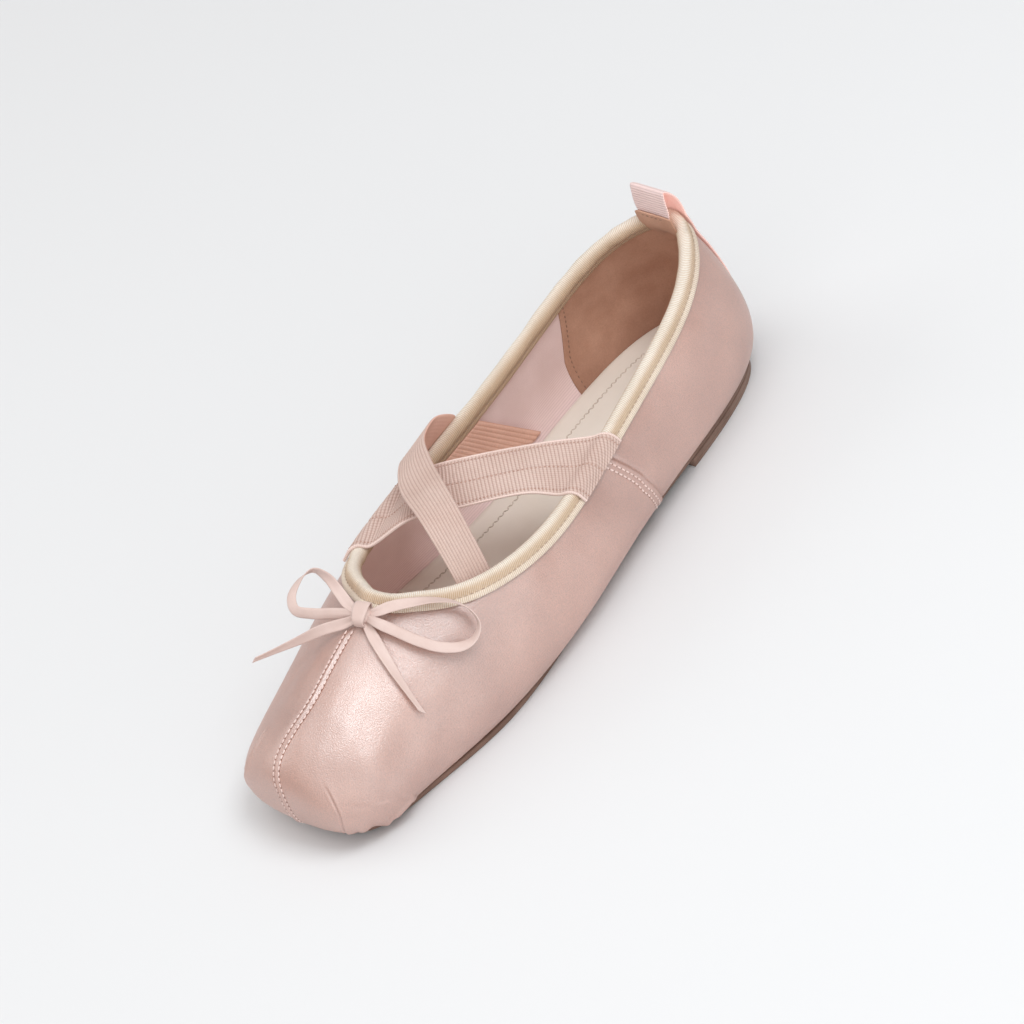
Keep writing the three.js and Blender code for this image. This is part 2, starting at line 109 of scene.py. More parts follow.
# Vectors over their own length.
def unit(v):
    return v / np.maximum(np.linalg.norm(v, axis=-1, keepdims=True), 1e-9)


# a at share 0, b at share 1, straight between.
def mix(a, b, share):
    return a + (b - a) * share


# 1 at no distance, falling as e to the minus square of distance over width.
def bell(d, width):
    return np.exp(-(d / width) ** 2)


# Underside of the outsole: level on the heel lift, down through the arch, level at the ball, up at the toe.
def soleBottom(x):
    arch = shoe["heelHeight"] * (1 - smooth((x - shoe["archStart"]) / (shoe["archEnd"] - shoe["archStart"])))
    lift = np.maximum(0, (x - shoe["springStart"]) / (shoe["toeTip"] - shoe["springStart"]))
    return arch + shoe["toeSpring"] * lift ** 2


# Level direction out of the shoe: the outline's slope turned a quarter.
def outward(s):
    return unit(np.stack([-ring["y"](s, True), ring["x"](s, True), np.zeros_like(s)], -1))


# One section of the wall: lasted margin, lower corner, widest point, shoulder and topline.
def station(s):
    wide = np.stack([ring["x"](s), ring["y"](s), ring["wideZ"](s)], -1)
    top = np.stack([ring["topX"](s), ring["topY"](s), ring["topZ"](s)], -1)
    margin = wide - outward(s) * ring["tuck"](s)[..., None]
    seat = np.maximum(soleBottom(margin[..., 0]), soleBottom(wide[..., 0]))
    margin[..., 2] = seat + shoe["soleThick"] + shoe["gap"]
    shoulder = mix(wide, top, ring["reach"](s)[..., None])
    shoulder[..., 2] = ring["shoulderZ"](s)
    share = (wide[..., 2] - margin[..., 2]) / (shoulder[..., 2] - wide[..., 2])
    corner = wide + (wide - shoulder) * share[..., None]
    return margin, corner, wide, shoulder, top


# A conic from a to b with the corner k, fuller with a larger weight.
def conic(a, k, b, weight, t):
    wa, wk, wb = [w[..., None] for w in ((1 - t) ** 2, 2 * weight * t * (1 - t), t * t)]
    return (a * wa + k * wk + b * wb) / (wa + wk + wb)


# The outside of the upper: s runs round the shoe, t from the lasted margin at 0 to the topline at 1.
def wallPoint(s, t):
    s, t = np.broadcast_arrays(np.asarray(s, float), np.asarray(t, float))
    margin, corner, wide, shoulder, top = station(s)
    split = shoe["wideShare"]                # the wall's share at its widest
    lower = conic(margin, corner, wide, np.full_like(s, shoe["lowerFull"]), np.clip(t / split, 0, 1))
    above = conic(wide, shoulder, top, ring["full"](s), np.clip((t - split) / (1 - split), 0, 1))
    return np.where((t < split)[..., None], lower, above)


# Directions at a place on the wall, from small steps h: up it, along it and out of it.
def wallFrame(s, t, h=0.004):
    t = np.asarray(t, float)
    up = unit(wallPoint(s, np.minimum(1, t + h)) - wallPoint(s, np.maximum(0, t - h)))
    along = unit(wallPoint(s + h, t) - wallPoint(s - h, t))
    return up, along, unit(np.cross(up, along))


# A point beside the wall: depth out of it, rise along it past the share t.
def besideWall(s, t, depth, rise=0.0):
    s, t = np.broadcast_arrays(np.asarray(s, float), np.asarray(t, float))
    up, _, normal = wallFrame(s, t)
    off = normal * np.asarray(depth, float)[..., None]
    return wallPoint(s, t) + off + up * np.asarray(rise, float)[..., None]


# The wall's share at a height, found by halving.
def shareAtHeight(s, z, depth, top=0.6, halvings=26):
    low, high = np.zeros_like(s), np.full_like(s, top)
    for _ in range(halvings):
        middle = (low + high) / 2
        under = besideWall(s, middle, depth)[..., 2] < z
        low, high = np.where(under, middle, low), np.where(under, high, middle)
    return (low + high) / 2


# A centripetal curve through rows of points, at shares u of the rows.
def throughRows(rows, u):
    p = np.asarray(rows, float)
    p = np.concatenate([2 * p[:1] - p[1:2], p, 2 * p[-1:] - p[-2:-1]])
    spot = np.clip(np.asarray(u, float), 0, 1) * (len(p) - 3)
    i = np.minimum(spot.astype(int), len(p) - 4)
    f = (spot - i).reshape((-1,) + (1,) * (p.ndim - 1))
    p0, p1, p2, p3 = p[i], p[i + 1], p[i + 2], p[i + 3]
    d0, d1, d2 = [np.maximum(np.linalg.norm(b - a, axis=-1, keepdims=True), 1e-6) ** 0.5
                  for a, b in ((p0, p1), (p1, p2), (p2, p3))]
    m1 = ((p1 - p0) / d0 - (p2 - p0) / (d0 + d1) + (p2 - p1) / d1) * d1
    m2 = ((p2 - p1) / d1 - (p3 - p1) / (d1 + d2) + (p3 - p2) / d2) * d1
    return p1 + m1 * f + (3 * (p2 - p1) - 2 * m1 - m2) * f ** 2 + (2 * (p1 - p2) + m1 + m2) * f ** 3


# Length along a line of points, from 0 at its start.
def runLength(line):
    return np.concatenate([[0], np.cumsum(np.linalg.norm(np.diff(line, axis=0), axis=1))])


# Rows of three values at lengths along a line, straight between the line's own points.
def atLengths(lengths, run, values):
    return np.stack([np.interp(lengths, run, values[:, k]) for k in range(3)], -1)


# Shares u that step evenly along the middle of a band of rows, and the length at each.
def evenShares(rows, count, fineCount=900):
    fine = np.linspace(0, 1, fineCount)
    middle = throughRows(rows, fine)
    middle = middle if middle.ndim == 2 else middle[:, middle.shape[1] // 2]
    run = runLength(middle)
    length = np.linspace(0, run[-1], count)
    return np.interp(length, run, fine), length


# Half a cosine wave from 0 to 1, so that steps are closer at the ends, or its first part.
def closeAtEnds(count, part=1.0):
    return 0.5 - 0.5 * np.cos(np.pi * np.linspace(0, part, count))


# Quads of a grid of points, and the row and column of each corner, not wrapped round, for the UV map.
def quadGrid(rows, columns, closeRows, closeColumns):
    i, j = np.meshgrid(np.arange(rows - (not closeRows)), np.arange(columns - (not closeColumns)),
                       indexing="ij")
    corners = [(i, j), (i + 1, j), (i + 1, j + 1), (i, j + 1)]
    quads = np.stack([(a % rows) * columns + b % columns for a, b in corners], -1).reshape(-1, 4)
    spots = np.stack([np.stack(k, -1) for k in corners], 2).reshape(-1, 4, 2)
    return quads, spots


# A mesh object from points in shoe millimetres and quads, with the UV of each quad's corners in millimetres.
def meshPiece(name, points, quads, uv, materials, faceMaterial, node):
    points = np.asarray(points, float).reshape(-1, 3)
    a, b, c, d = [points[quads[:, k]] for k in range(4)]
    volume = (np.cross(a, b) * c).sum() + (np.cross(a, c) * d).sum()
    if volume < 0:                           # faces point outwards
        quads, uv = quads[:, ::-1], uv[:, ::-1]
    mesh = bpy.data.meshes.new(name)
    mesh.vertices.add(len(points))
    mesh.vertices.foreach_set("co", ((points + shoe["frameShift"]) / 1000).astype(np.float32).ravel())
    mesh.loops.add(quads.size)
    mesh.loops.foreach_set("vertex_index", quads.astype(np.int32).ravel())
    mesh.polygons.add(len(quads))
    mesh.polygons.foreach_set("loop_start", np.arange(0, quads.size, 4, dtype=np.int32))
    mesh.polygons.foreach_set("use_smooth", np.ones(len(quads), bool))
    if faceMaterial is not None:
        mesh.polygons.foreach_set("material_index", faceMaterial.astype(np.int32))
    mesh.uv_layers.new(name="UVMap").data.foreach_set("uv", (uv / 10).astype(np.float32).ravel())
    for m in materials:
        mesh.materials.append(m)
    mesh.update(calc_edges=True)
    work = bmesh.new()                       # poles and doubled seam points become one
    work.from_mesh(mesh)
    bmesh.ops.remove_doubles(work, verts=work.verts, dist=2e-6)
    bmesh.ops.dissolve_degenerate(work, edges=work.edges, dist=1e-6)
    work.to_mesh(mesh)
    work.free()
    piece = bpy.data.objects.new(name, mesh)
    bpy.context.scene.collection.objects.link(piece)
    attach(piece, "root")
    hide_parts(node)
    return piece


# A closed tube of profile rings; unless given, uv is the length along the rows and round the columns.
def tubePiece(name, points, materials, node, closeRows=False, faceMaterial=None, uvGrid=None):
    rows, columns = points.shape[:2]
    quads, spots = quadGrid(rows, columns, closeRows, True)
    if uvGrid is None:
        ringOf = np.concatenate([points, points[:, :1]], 1)
        steps = np.cumsum(np.linalg.norm(np.diff(ringOf, axis=1), axis=2), 1)
        around = np.concatenate([np.zeros((rows, 1)), steps], 1).mean(0)
        lineOf = np.concatenate([points, points[:1]], 0)
        along = np.concatenate([[0], np.cumsum(np.linalg.norm(np.diff(lineOf, axis=0), axis=2).mean(1))])
        uv = np.stack([along[spots[..., 0]], around[spots[..., 1]]], -1)
    else:
        uv = uvGrid.reshape(-1, 2)[quads]
    if not closeRows:                        # flat ends, front to back
        j = np.arange(columns // 2 - 1)
        firstCap = np.stack([j, j + 1, columns - 2 - j, columns - 1 - j], -1)
        caps = np.concatenate([firstCap, firstCap[:, ::-1] + (rows - 1) * columns])
        quads = np.concatenate([quads, caps])
        uv = np.concatenate([uv, np.zeros((len(caps), 4, 2))])
        if faceMaterial is not None:
            faceMaterial = np.concatenate([faceMaterial, np.zeros(len(caps))])
    return meshPiece(name, points, quads, uv, materials, faceMaterial, node)


# A band about a surface: front and back lie off it by their own thickness, and a second material is the back's.
# Its uv is the run along it and the place across it.
def bandPiece(name, surface, front, back, materials, node, run=None, width=None):
    along, over = np.gradient(surface, axis=0), np.gradient(surface, axis=1)
    normal = unit(np.cross(along, over))
    faceFront = surface + normal * front[..., None]
    faceBack = surface - normal * back[..., None]
    if run is None:
        run = np.cumsum(np.linalg.norm(along, axis=-1), 0)
    if width is None:
        width = np.linalg.norm(over, axis=-1).mean(0).sum()
    across = np.broadcast_to(np.linspace(0, width, surface.shape[1]), run.shape)
    grid = np.stack([run, across], -1)
    columns = 2 * surface.shape[1]
    onBack = None
    if len(materials) > 1:
        onBack = np.tile(np.arange(columns) >= columns // 2, len(surface) - 1)
    points = np.concatenate([faceFront, faceBack[:, ::-1]], 1)
    uvGrid = np.concatenate([grid, grid[:, ::-1]], 1)
    return tubePiece(name, points, materials, node, False, onBack, uvGrid)


# Length along a band, zero on a line square to it, so that ribs cross it squarely.
def squareRun(surface, row):
    step = np.linalg.norm(np.diff(surface, axis=0), axis=2)
    run = np.concatenate([np.zeros((1, surface.shape[1])), np.cumsum(step, 0)])
    middle = surface.shape[1] // 2
    ahead = unit(surface[row + 2, middle] - surface[row - 2, middle])
    return run - run[row] + (surface[row] - surface[row, middle]) @ ahead


# Many stitches as one mesh: each is a small spindle along its run, standing on the surface.
# Each row holds the centres, runs and normals of its stitches.
def stitchPiece(name, rows, stitch, material, node):
    centres, runs, normals = [np.concatenate(k) for k in zip(*rows)]
    rings, turns = 5, 6
    share = np.linspace(-1, 1, rings)
    turn = np.linspace(0, 2 * np.pi, turns + 1)[:-1]
    bulge = np.sqrt(np.clip(1 - (0.96 * share) ** 2, 0, 1)) * stitch["radius"]
    runs = unit(runs)
    normals = unit(normals - runs * (normals * runs).sum(-1, keepdims=True))
    sides = np.cross(runs, normals)
    ahead = (share * stitch["length"] / 2)[None, :, None, None]
    spine = centres[:, None, None] + runs[:, None, None] * ahead
    points = spine + (normals[:, None, None] * np.cos(turn)[None, None, :, None]
                      + sides[:, None, None] * np.sin(turn)[None, None, :, None]) * bulge[None, :, None, None]
    quads, _ = quadGrid(rings, turns, False, True)
    ends = np.array([[0, 1, 2, 3], [0, 3, 4, 5]])
    quads = np.concatenate([quads, ends[:, ::-1], ends + (rings - 1) * turns])
    allQuads = (quads[None] + rings * turns * np.arange(len(centres))[:, None, None]).reshape(-1, 4)
    uv = np.zeros(allQuads.shape + (2,))
    return meshPiece(name, points, allQuads, uv, [material], None, node)


# Even steps along a line of points: centre, run and normal of each stitch, the run over a step h either way.
def stitchRun(line, normals, pitch, phase=0.0, h=0.3):
    run = runLength(line)
    spots = np.arange(pitch * (0.5 + phase), run[-1], pitch)
    ahead = atLengths(spots + h, run, line) - atLengths(spots - h, run, line)
    return atLengths(spots, run, line), unit(ahead), unit(atLengths(spots, run, normals))


# A shader node: each input is linked to a socket or set to a value.
def shaderNode(tree, kind, inputs, **settings):
    node = tree.nodes.new("ShaderNode" + kind)
    for key, value in settings.items():
        setattr(node, key, value)
    for key, value in inputs.items():
        if isinstance(value, bpy.types.NodeSocket):
            tree.links.new(value, node.inputs[key])
        else:
            node.inputs[key].default_value = value
    return node


# A colour with full alpha.
def colour(red, green, blue):
    return (red, green, blue, 1.0)


# A colour multiplied by a tint, as far as the factor says.
def tinted(tree, base, factor, tint):
    return shaderNode(tree, "MixRGB", {"Fac": factor, "Color1": base, "Color2": colour(*tint)},
                      blend_type="MULTIPLY").outputs["Color"]


# What all finishes share: the length of one wave of the wave texture at scale 1, the depth of bump in metres,
# how far roughness follows the grain, and the parts of the noise that patches and flecks are taken from.
cloth = {"waveLength": 0.31416, "bumpDepth": 0.0003, "roughSpread": 0.06, "sheenRough": 0.4,
         "patchLow": 0.35, "patchHigh": 0.65, "fleckLow": 0.3, "fleckHigh": 0.7}


# Cloth: two shades mixed by soft patches, ribs by sine waves on the UV in centimetres, fine grain and bump.
def clothMaterial(name, look):
    material = bpy.data.materials.new(name)
    material.use_nodes = True
    tree = material.node_tree
    shader = tree.nodes["Principled BSDF"]
    place = shaderNode(tree, "TexCoord", {})
    patches = shaderNode(tree, "TexNoise", {"Vector": place.outputs["Object"], "Scale": look["patchScale"],
                                            "Detail": 3.0})
    shade = shaderNode(tree, "MapRange", {"Value": patches.outputs["Fac"], "From Min": cloth["patchLow"],
                                          "From Max": cloth["patchHigh"]})
    blend = shaderNode(tree, "MixRGB", {"Fac": shade.outputs["Result"], "Color1": colour(*look["dark"]),
                                        "Color2": colour(*look["light"])})
    base = blend.outputs["Color"]
    grain = shaderNode(tree, "TexNoise", {"Vector": place.outputs["Object"], "Scale": look["grainScale"],
                                          "Detail": 2.0})
    height = shaderNode(tree, "Math", {0: grain.outputs["Fac"], 1: look["grainDepth"]},
                        operation="MULTIPLY").outputs[0]
    for rib in look.get("ribs", []):
        mapped = shaderNode(tree, "Mapping", {"Vector": place.outputs["UV"],
                                              "Rotation": (0, 0, math.radians(rib["turn"]))})
        wave = shaderNode(tree, "TexWave", {"Vector": mapped.outputs["Vector"],
                                            "Scale": cloth["waveLength"] / (rib["pitch"] / 10),
                                            "Distortion": rib.get("wander", 0.0), "Detail Scale": 0.6},
                          wave_profile="SIN")
        lift = shaderNode(tree, "Math", {0: wave.outputs["Fac"], 1: rib["depth"]}, operation="MULTIPLY")
        height = shaderNode(tree, "Math", {0: height, 1: lift.outputs[0]}, operation="ADD").outputs[0]
        groove = shaderNode(tree, "MapRange", {"Value": wave.outputs["Fac"], "From Min": 0.0,
                                               "From Max": rib.get("groove", 0.55),
                                               "To Min": 1.0, "To Max": 0.0})
        base = tinted(tree, base, groove.outputs["Result"], rib["shadow"])
    # the fleck is partly the grain's own tone and partly painted glints: threads that catch the light a little
    # more or less, laid into the colour
    if "fleck" in look:                      # threads that catch the light a little more or less
        fleck = shaderNode(tree, "MapRange", {"Value": grain.outputs["Fac"], "From Min": cloth["fleckLow"],
                                              "From Max": cloth["fleckHigh"], "To Min": 1 - look["fleck"],
                                              "To Max": 1 + look["fleck"]})
        base = shaderNode(tree, "VectorMath", {0: base, 1: fleck.outputs["Result"]},
                          operation="MULTIPLY").outputs[0]
    # painted shade: each band multiplies the colour by a tint across the UV where shade falls; a tint above one
    # lightens it again
    for paintedShading in look.get("paintedShading", []):    # a tint that comes in across the UV, in millimetres
        across = shaderNode(tree, "SeparateXYZ", {0: place.outputs["UV"]})
        share = shaderNode(tree, "MapRange", {"Value": across.outputs["Y"], "From Min": paintedShading["start"] / 10,
                                              "From Max": paintedShading["end"] / 10}, interpolation_type="SMOOTHSTEP")
        base = tinted(tree, base, share.outputs["Result"], paintedShading["tint"])
    bump = shaderNode(tree, "Bump", {"Height": height, "Strength": look["bump"],
                                     "Distance": cloth["bumpDepth"]})
    if "waves" in look:                      # wide soft unevenness of stretched cloth
        waves = look["waves"]
        stretched = shaderNode(tree, "Mapping", {"Vector": place.outputs["Object"], "Scale": waves["stretch"]})
        swell = shaderNode(tree, "TexNoise", {"Vector": stretched.outputs["Vector"], "Scale": waves["scale"],
                                              "Detail": 1.5})
        wide = shaderNode(tree, "Bump", {"Height": swell.outputs["Fac"], "Strength": 1.0,
                                         "Distance": waves["height"]})
        tree.links.new(wide.outputs["Normal"], bump.inputs["Normal"])
    tree.links.new(base, shader.inputs["Base Color"])
    tree.links.new(bump.outputs["Normal"], shader.inputs["Normal"])
    spread = cloth["roughSpread"]
    dull = shaderNode(tree, "MapRange", {"Value": grain.outputs["Fac"], "To Min": look["rough"] - spread,
                                         "To Max": look["rough"] + spread})
    tree.links.new(dull.outputs["Result"], shader.inputs["Roughness"])
    shader.inputs["Specular IOR Level"].default_value = look.get("specular", 0.4)
    shader.inputs["Specular Tint"].default_value = colour(*look.get("specularTint", (1, 1, 1)))
    shader.inputs["IOR"].default_value = look.get("ior", 1.5)
    shader.inputs["Sheen Weight"].default_value = look.get("sheen", 0.0)
    shader.inputs["Sheen Roughness"].default_value = cloth["sheenRough"]
    shader.inputs["Sheen Tint"].default_value = colour(*look.get("sheenTint", (1, 1, 1)))
    # painted light: an emission that makes thin cloth glow from within, standing in for light that comes
    # through it
    shader.inputs["Emission Color"].default_value = colour(*look.get("paintedGlow", (0, 0, 0)))
    shader.inputs["Emission Strength"].default_value = 1.0 if "paintedGlow" in look else 0.0
    return material


# Values that several finishes have in common.
threadLook = {"patchScale": 300, "grainScale": 3000, "grainDepth": 0.3, "bump": 0.2, "rough": 0.65,
              "specular": 0.25}
elasticLook = {"patchScale": 70, "grainScale": 1500, "grainDepth": 0.3, "rough": 0.75, "specular": 0.25,
               "sheen": 0.1}
liningLook = {"patchScale": 60, "grainScale": 1200, "grainDepth": 0.3, "bump": 0.4, "rough": 0.8,
              "specular": 0.2}
suedeLook = {"dark": (0.5, 0.28, 0.195), "light": (0.6, 0.355, 0.255), "patchScale": 75, "grainScale": 1800,
             "grainDepth": 0.6, "fleck": 0.06, "bump": 0.3, "rough": 0.9, "specular": 0.15, "sheen": 0.12,
             "sheenTint": (0.95, 0.82, 0.74)}
tabLook = {"patchScale": 90, "grainScale": 1500, "grainDepth": 0.25, "bump": 0.5, "rough": 0.55,
           "specular": 0.4, "sheen": 0.2}
soleLook = {"patchScale": 70, "grainScale": 700, "grainDepth": 0.5, "bump": 0.25, "specular": 0.35}
looks = {
    # the satin's dark and light shades, mixed in wide soft patches, paint the soft waves of its sheen
    "satin": {"dark": (0.372, 0.158, 0.106), "light": (0.5, 0.242, 0.174), "patchScale": 26,
              "grainScale": 2200, "grainDepth": 1.0, "fleck": 0.17, "bump": 0.45, "rough": 0.4,
              "specular": 1.0, "ior": 2.2, "specularTint": (0.95, 0.975, 0.985),
              "sheen": 0.14, "sheenTint": (1.0, 0.95, 0.93),
              "waves": {"scale": 42, "stretch": (0.8, 1.0, 0.7), "height": 0.004},
              "ribs": [{"turn": 0, "pitch": 0.5, "depth": 0.12, "shadow": (0.97, 0.97, 0.97), "wander": 1.5}]},
    # the lining has a faint painted glow that lights it from within
    "lining": {**liningLook, "dark": (0.8, 0.63, 0.61), "light": (0.87, 0.7, 0.685),
               "paintedGlow": (0.03, 0.014, 0.01),
               "ribs": [{"turn": 90, "pitch": 0.8, "depth": 0.5, "shadow": (0.88, 0.86, 0.87)}]},
    # painted light: the lining under the vamp is a warmer copy of the lining with a painted glow, for the warm
    # light bounced inside the toe
    "vampLining": {**liningLook, "dark": (0.85, 0.6, 0.53), "light": (0.9, 0.665, 0.595),
                   "paintedGlow": (0.08, 0.03, 0.012),
                   "ribs": [{"turn": 90, "pitch": 1.0, "depth": 0.4, "shadow": (0.9, 0.86, 0.84)}]},
    "suede": suedeLook,
    # painted shade: darker towards the insole
    "heelSuede": {**suedeLook, "paintedShading": [{"start": 20, "end": 1, "tint": (0.68, 0.64, 0.62)}]},
    # the binding's bands are painted shade: tan over the inner half of the bead and darker down its outer side,
    # with the flange below lightened again
    "binding": {"dark": (0.81, 0.75, 0.67), "light": (0.86, 0.81, 0.74), "patchScale": 90, "grainScale": 1300,
                "grainDepth": 0.25, "fleck": 0.04, "bump": 0.7, "rough": 0.75, "specular": 0.25,
                "paintedShading": [{"start": 8.4, "end": 12.6, "tint": (0.72, 0.585, 0.47)},
                           {"start": 7.4, "end": 5.0, "tint": (0.8, 0.68, 0.57)},
                           {"start": 3.5, "end": 2.5, "tint": (1.18, 1.32, 1.5)}],
                "ribs": [{"turn": 0, "pitch": 0.66, "depth": 0.6, "shadow": (0.78, 0.63, 0.51)}]},
    "elasticAcross": {**elasticLook, "dark": (0.63, 0.475, 0.42), "light": (0.69, 0.54, 0.485),
                      "fleck": 0.05, "bump": 0.5,
                      "ribs": [{"turn": 0, "pitch": 1.25, "depth": 0.6, "shadow": (0.74, 0.66, 0.64)},
                               {"turn": 90, "pitch": 0.95, "depth": 0.3, "shadow": (0.88, 0.83, 0.81)}]},
    "elasticEdge": {**elasticLook, "dark": (0.8, 0.63, 0.575), "light": (0.85, 0.69, 0.635),
                    "bump": 0.3, "rough": 0.7, "specular": 0.3,
                    "ribs": [{"turn": 0, "pitch": 0.6, "depth": 0.3, "shadow": (0.9, 0.86, 0.84)}]},
    "elasticAlong": {**elasticLook, "dark": (0.615, 0.455, 0.4), "light": (0.67, 0.515, 0.46),
                     "fleck": 0.05, "bump": 0.45,
                     "ribs": [{"turn": 90, "pitch": 1.7, "depth": 0.5, "shadow": (0.78, 0.7, 0.68),
                               "groove": 0.32},
                              {"turn": 0, "pitch": 0.8, "depth": 0.2, "shadow": (0.94, 0.92, 0.91)}]},
    # painted shade: the upper elastic's underside is a warmer copy of it, for the peach shade on its inner face
    "elasticInside": {**elasticLook, "dark": (0.74, 0.44, 0.35), "light": (0.79, 0.49, 0.4),
                      "bump": 0.3, "rough": 0.8, "specular": 0.2,
                      "ribs": [{"turn": 0, "pitch": 0.8, "depth": 0.1, "shadow": (0.97, 0.97, 0.97)}]},
    # painted shade: the elastic's end inside the far wall is a warmer copy of it, for the warm shade inside the
    # shoe
    "elasticEnd": {**elasticLook, "dark": (0.76, 0.46, 0.36), "light": (0.81, 0.51, 0.405),
                   "fleck": 0.05, "bump": 0.4,
                   "ribs": [{"turn": 90, "pitch": 1.7, "depth": 0.4, "shadow": (0.84, 0.76, 0.72),
                             "groove": 0.35}]},
    "ribbon": {"dark": (0.68, 0.51, 0.46), "light": (0.735, 0.57, 0.52), "patchScale": 120, "grainScale": 1600,
               "grainDepth": 0.3, "bump": 0.35, "rough": 0.5, "specular": 0.5, "sheen": 0.25,
               "ribs": [{"turn": 0, "pitch": 0.45, "depth": 0.2, "shadow": (0.95, 0.95, 0.95)}]},
    "tab": {**tabLook, "dark": (0.8, 0.6, 0.575), "light": (0.85, 0.66, 0.635),
            "ribs": [{"turn": 0, "pitch": 1.0, "depth": 0.5, "shadow": (0.84, 0.84, 0.84)}]},
    # painted light and shade: the tab's inner face is a warmer copy of the tab for its shaded inside, with a
    # painted glow that lights it
    "tabInside": {**tabLook, "dark": (0.87, 0.6, 0.55), "light": (0.91, 0.66, 0.61), "paintedGlow": (0.2, 0.12, 0.105),
                  "ribs": [{"turn": 0, "pitch": 1.0, "depth": 0.5, "shadow": (0.88, 0.88, 0.88)}]},
    "insole": {"dark": (0.77, 0.71, 0.63), "light": (0.82, 0.765, 0.69), "patchScale": 45, "grainScale": 900,
               "grainDepth": 0.5, "bump": 0.2, "rough": 0.62, "specular": 0.35},
    "sole": {**soleLook, "dark": (0.17, 0.095, 0.068), "light": (0.23, 0.135, 0.1), "rough": 0.55},
    "heel": {**soleLook, "dark": (0.17, 0.1, 0.072), "light": (0.235, 0.145, 0.11), "rough": 0.5},
    "thread": {**threadLook, "dark": (0.78, 0.59, 0.54), "light": (0.88, 0.71, 0.66),
               "rough": 0.45, "specular": 0.5},
    # painted shade: the dark colour of the needle holes
    "holeShade": {**threadLook, "dark": (0.32, 0.18, 0.145), "light": (0.4, 0.24, 0.195),
             "grainDepth": 0.1, "bump": 0.1, "rough": 0.9, "specular": 0.05},
    "seamThread": {**threadLook, "dark": (0.4, 0.29, 0.22), "light": (0.52, 0.4, 0.31)},
    "elasticThread": {**threadLook, "dark": (0.42, 0.25, 0.2), "light": (0.52, 0.33, 0.27)},
    "brownThread": {**threadLook, "dark": (0.28, 0.16, 0.11), "light": (0.36, 0.22, 0.16)},
    "paleThread": {**threadLook, "dark": (0.56, 0.48, 0.41), "light": (0.66, 0.58, 0.51)},
}
finish = {name: clothMaterial(name, look) for name, look in looks.items()}
print("materials made:", len(finish))

# Camera at the photograph's angle: its axes and place in the shoe's own frame.
camera = {
    "turn": (-0.021688, -1.021128, -1.965385), "distance": 1693.55, "focal": 5002.93, "clipEnd": 20,
    "centre": (124.0, 0.0, 25.0), "shiftPixels": (8.19, 17.77), "imagePixels": 1024, "sensor": 36.0,
}


# Turn vector to a matrix whose rows are the camera's right, up and back.
def turnRows(turn):
    angle = np.linalg.norm(turn)
    x, y, z = np.array(turn) / angle
    cross = np.array([[0, -z, y], [z, 0, -x], [-y, x, 0]])
    return np.eye(3) + math.sin(angle) * cross + (1 - math.cos(angle)) * cross @ cross


cameraRows = turnRows(camera["turn"])


# A place in metres from steps to the camera's right, up and back about the shoe's middle.
def cameraPlace(right, up, back):
    spot = np.array(camera["centre"]) + cameraRows.T @ np.array([right, up, back], float)
    return (spot + shoe["frameShift"]) / 1000


# A matrix with three directions as its columns and a place.
def lookAlong(place, rows):
    matrix = Matrix.Identity(4)
    for k in range(3):
        matrix.col[k].xyz = rows[k]
    matrix.translation = place
    return matrix


cameraData = bpy.data.cameras.new("camera")
cameraData.lens = camera["focal"] / camera["imagePixels"] * camera["sensor"]
cameraData.sensor_width = camera["sensor"]
cameraData.shift_x = camera["shiftPixels"][0] / camera["imagePixels"]
cameraData.shift_y = camera["shiftPixels"][1] / camera["imagePixels"]
cameraData.clip_end = camera["clipEnd"]
cameraObject = bpy.data.objects.new("camera", cameraData)
bpy.context.scene.collection.objects.link(cameraObject)
cameraObject.matrix_world = lookAlong(cameraPlace(0, 0, camera["distance"]), cameraRows)
bpy.context.scene.camera = cameraObject

# Soft studio lights: place by steps to the camera's right, up and back in millimetres, size in metres.
lights = {
    "key": {"place": (150, 855, 1215), "size": 0.65, "power": 8.9, "tint": (0.94, 0.98, 1.0)},
    "side": {"place": (-1300, 500, 0), "size": 0.9, "power": 3.6, "tint": (1.0, 0.98, 0.96)},
    "fill": {"place": (-100, 0, 1500), "size": 2.4, "power": 11.4, "tint": (1.0, 0.985, 0.97)},
    "low": {"place": (900, -350, 900), "size": 1.0, "power": 2.6, "tint": (0.98, 0.99, 1.0)},
    "over": {"place": (-700, 980, 850), "size": 1.2, "power": 3.0, "tint": (1.0, 0.99, 0.98)},
}
for name, light in lights.items():
    data = bpy.data.lights.new(name, "AREA")
    data.size = light["size"]
    data.energy = light["power"]
    data.color = light["tint"]
    place = cameraPlace(*light["place"])
    back = unit(place - cameraPlace(0, 0, 0))
    right = unit(np.cross([0, 0, 1], back))
    lamp = bpy.data.objects.new(name, data)
    bpy.context.scene.collection.objects.link(lamp)
    lamp.matrix_world = lookAlong(place, [right, np.cross(back, right), back])

# Soft light from all round, and a floor of one pale plane under the shoe.
studio = {"worldTint": (1.0, 0.985, 0.975), "worldStrength": 0.47,
          "floorTint": (0.775, 0.782, 0.795), "floorRough": 0.5, "floorReach": 6.0}
world = bpy.data.worlds.new("studio")
world.use_nodes = True
background = world.node_tree.nodes["Background"]
background.inputs["Color"].default_value = colour(*studio["worldTint"])
background.inputs["Strength"].default_value = studio["worldStrength"]
bpy.context.scene.world = world
bpy.context.scene.view_settings.view_transform = "Standard"
reach = studio["floorReach"]
floorCorners = [(-reach, -reach, 0), (reach, -reach, 0), (reach, reach, 0), (-reach, reach, 0)]
floorMesh = bpy.data.meshes.new("floor")
floorMesh.from_pydata(floorCorners, [], [(0, 1, 2, 3)])
floorPaint = bpy.data.materials.new("floor")
floorPaint.use_nodes = True
floorShader = floorPaint.node_tree.nodes["Principled BSDF"]
floorShader.inputs["Base Color"].default_value = colour(*studio["floorTint"])
floorShader.inputs["Roughness"].default_value = studio["floorRough"]
floorMesh.materials.append(floorPaint)
floor = bpy.data.objects.new("floor", floorMesh)
bpy.context.scene.collection.objects.link(floor)
print("camera, lights and floor set")

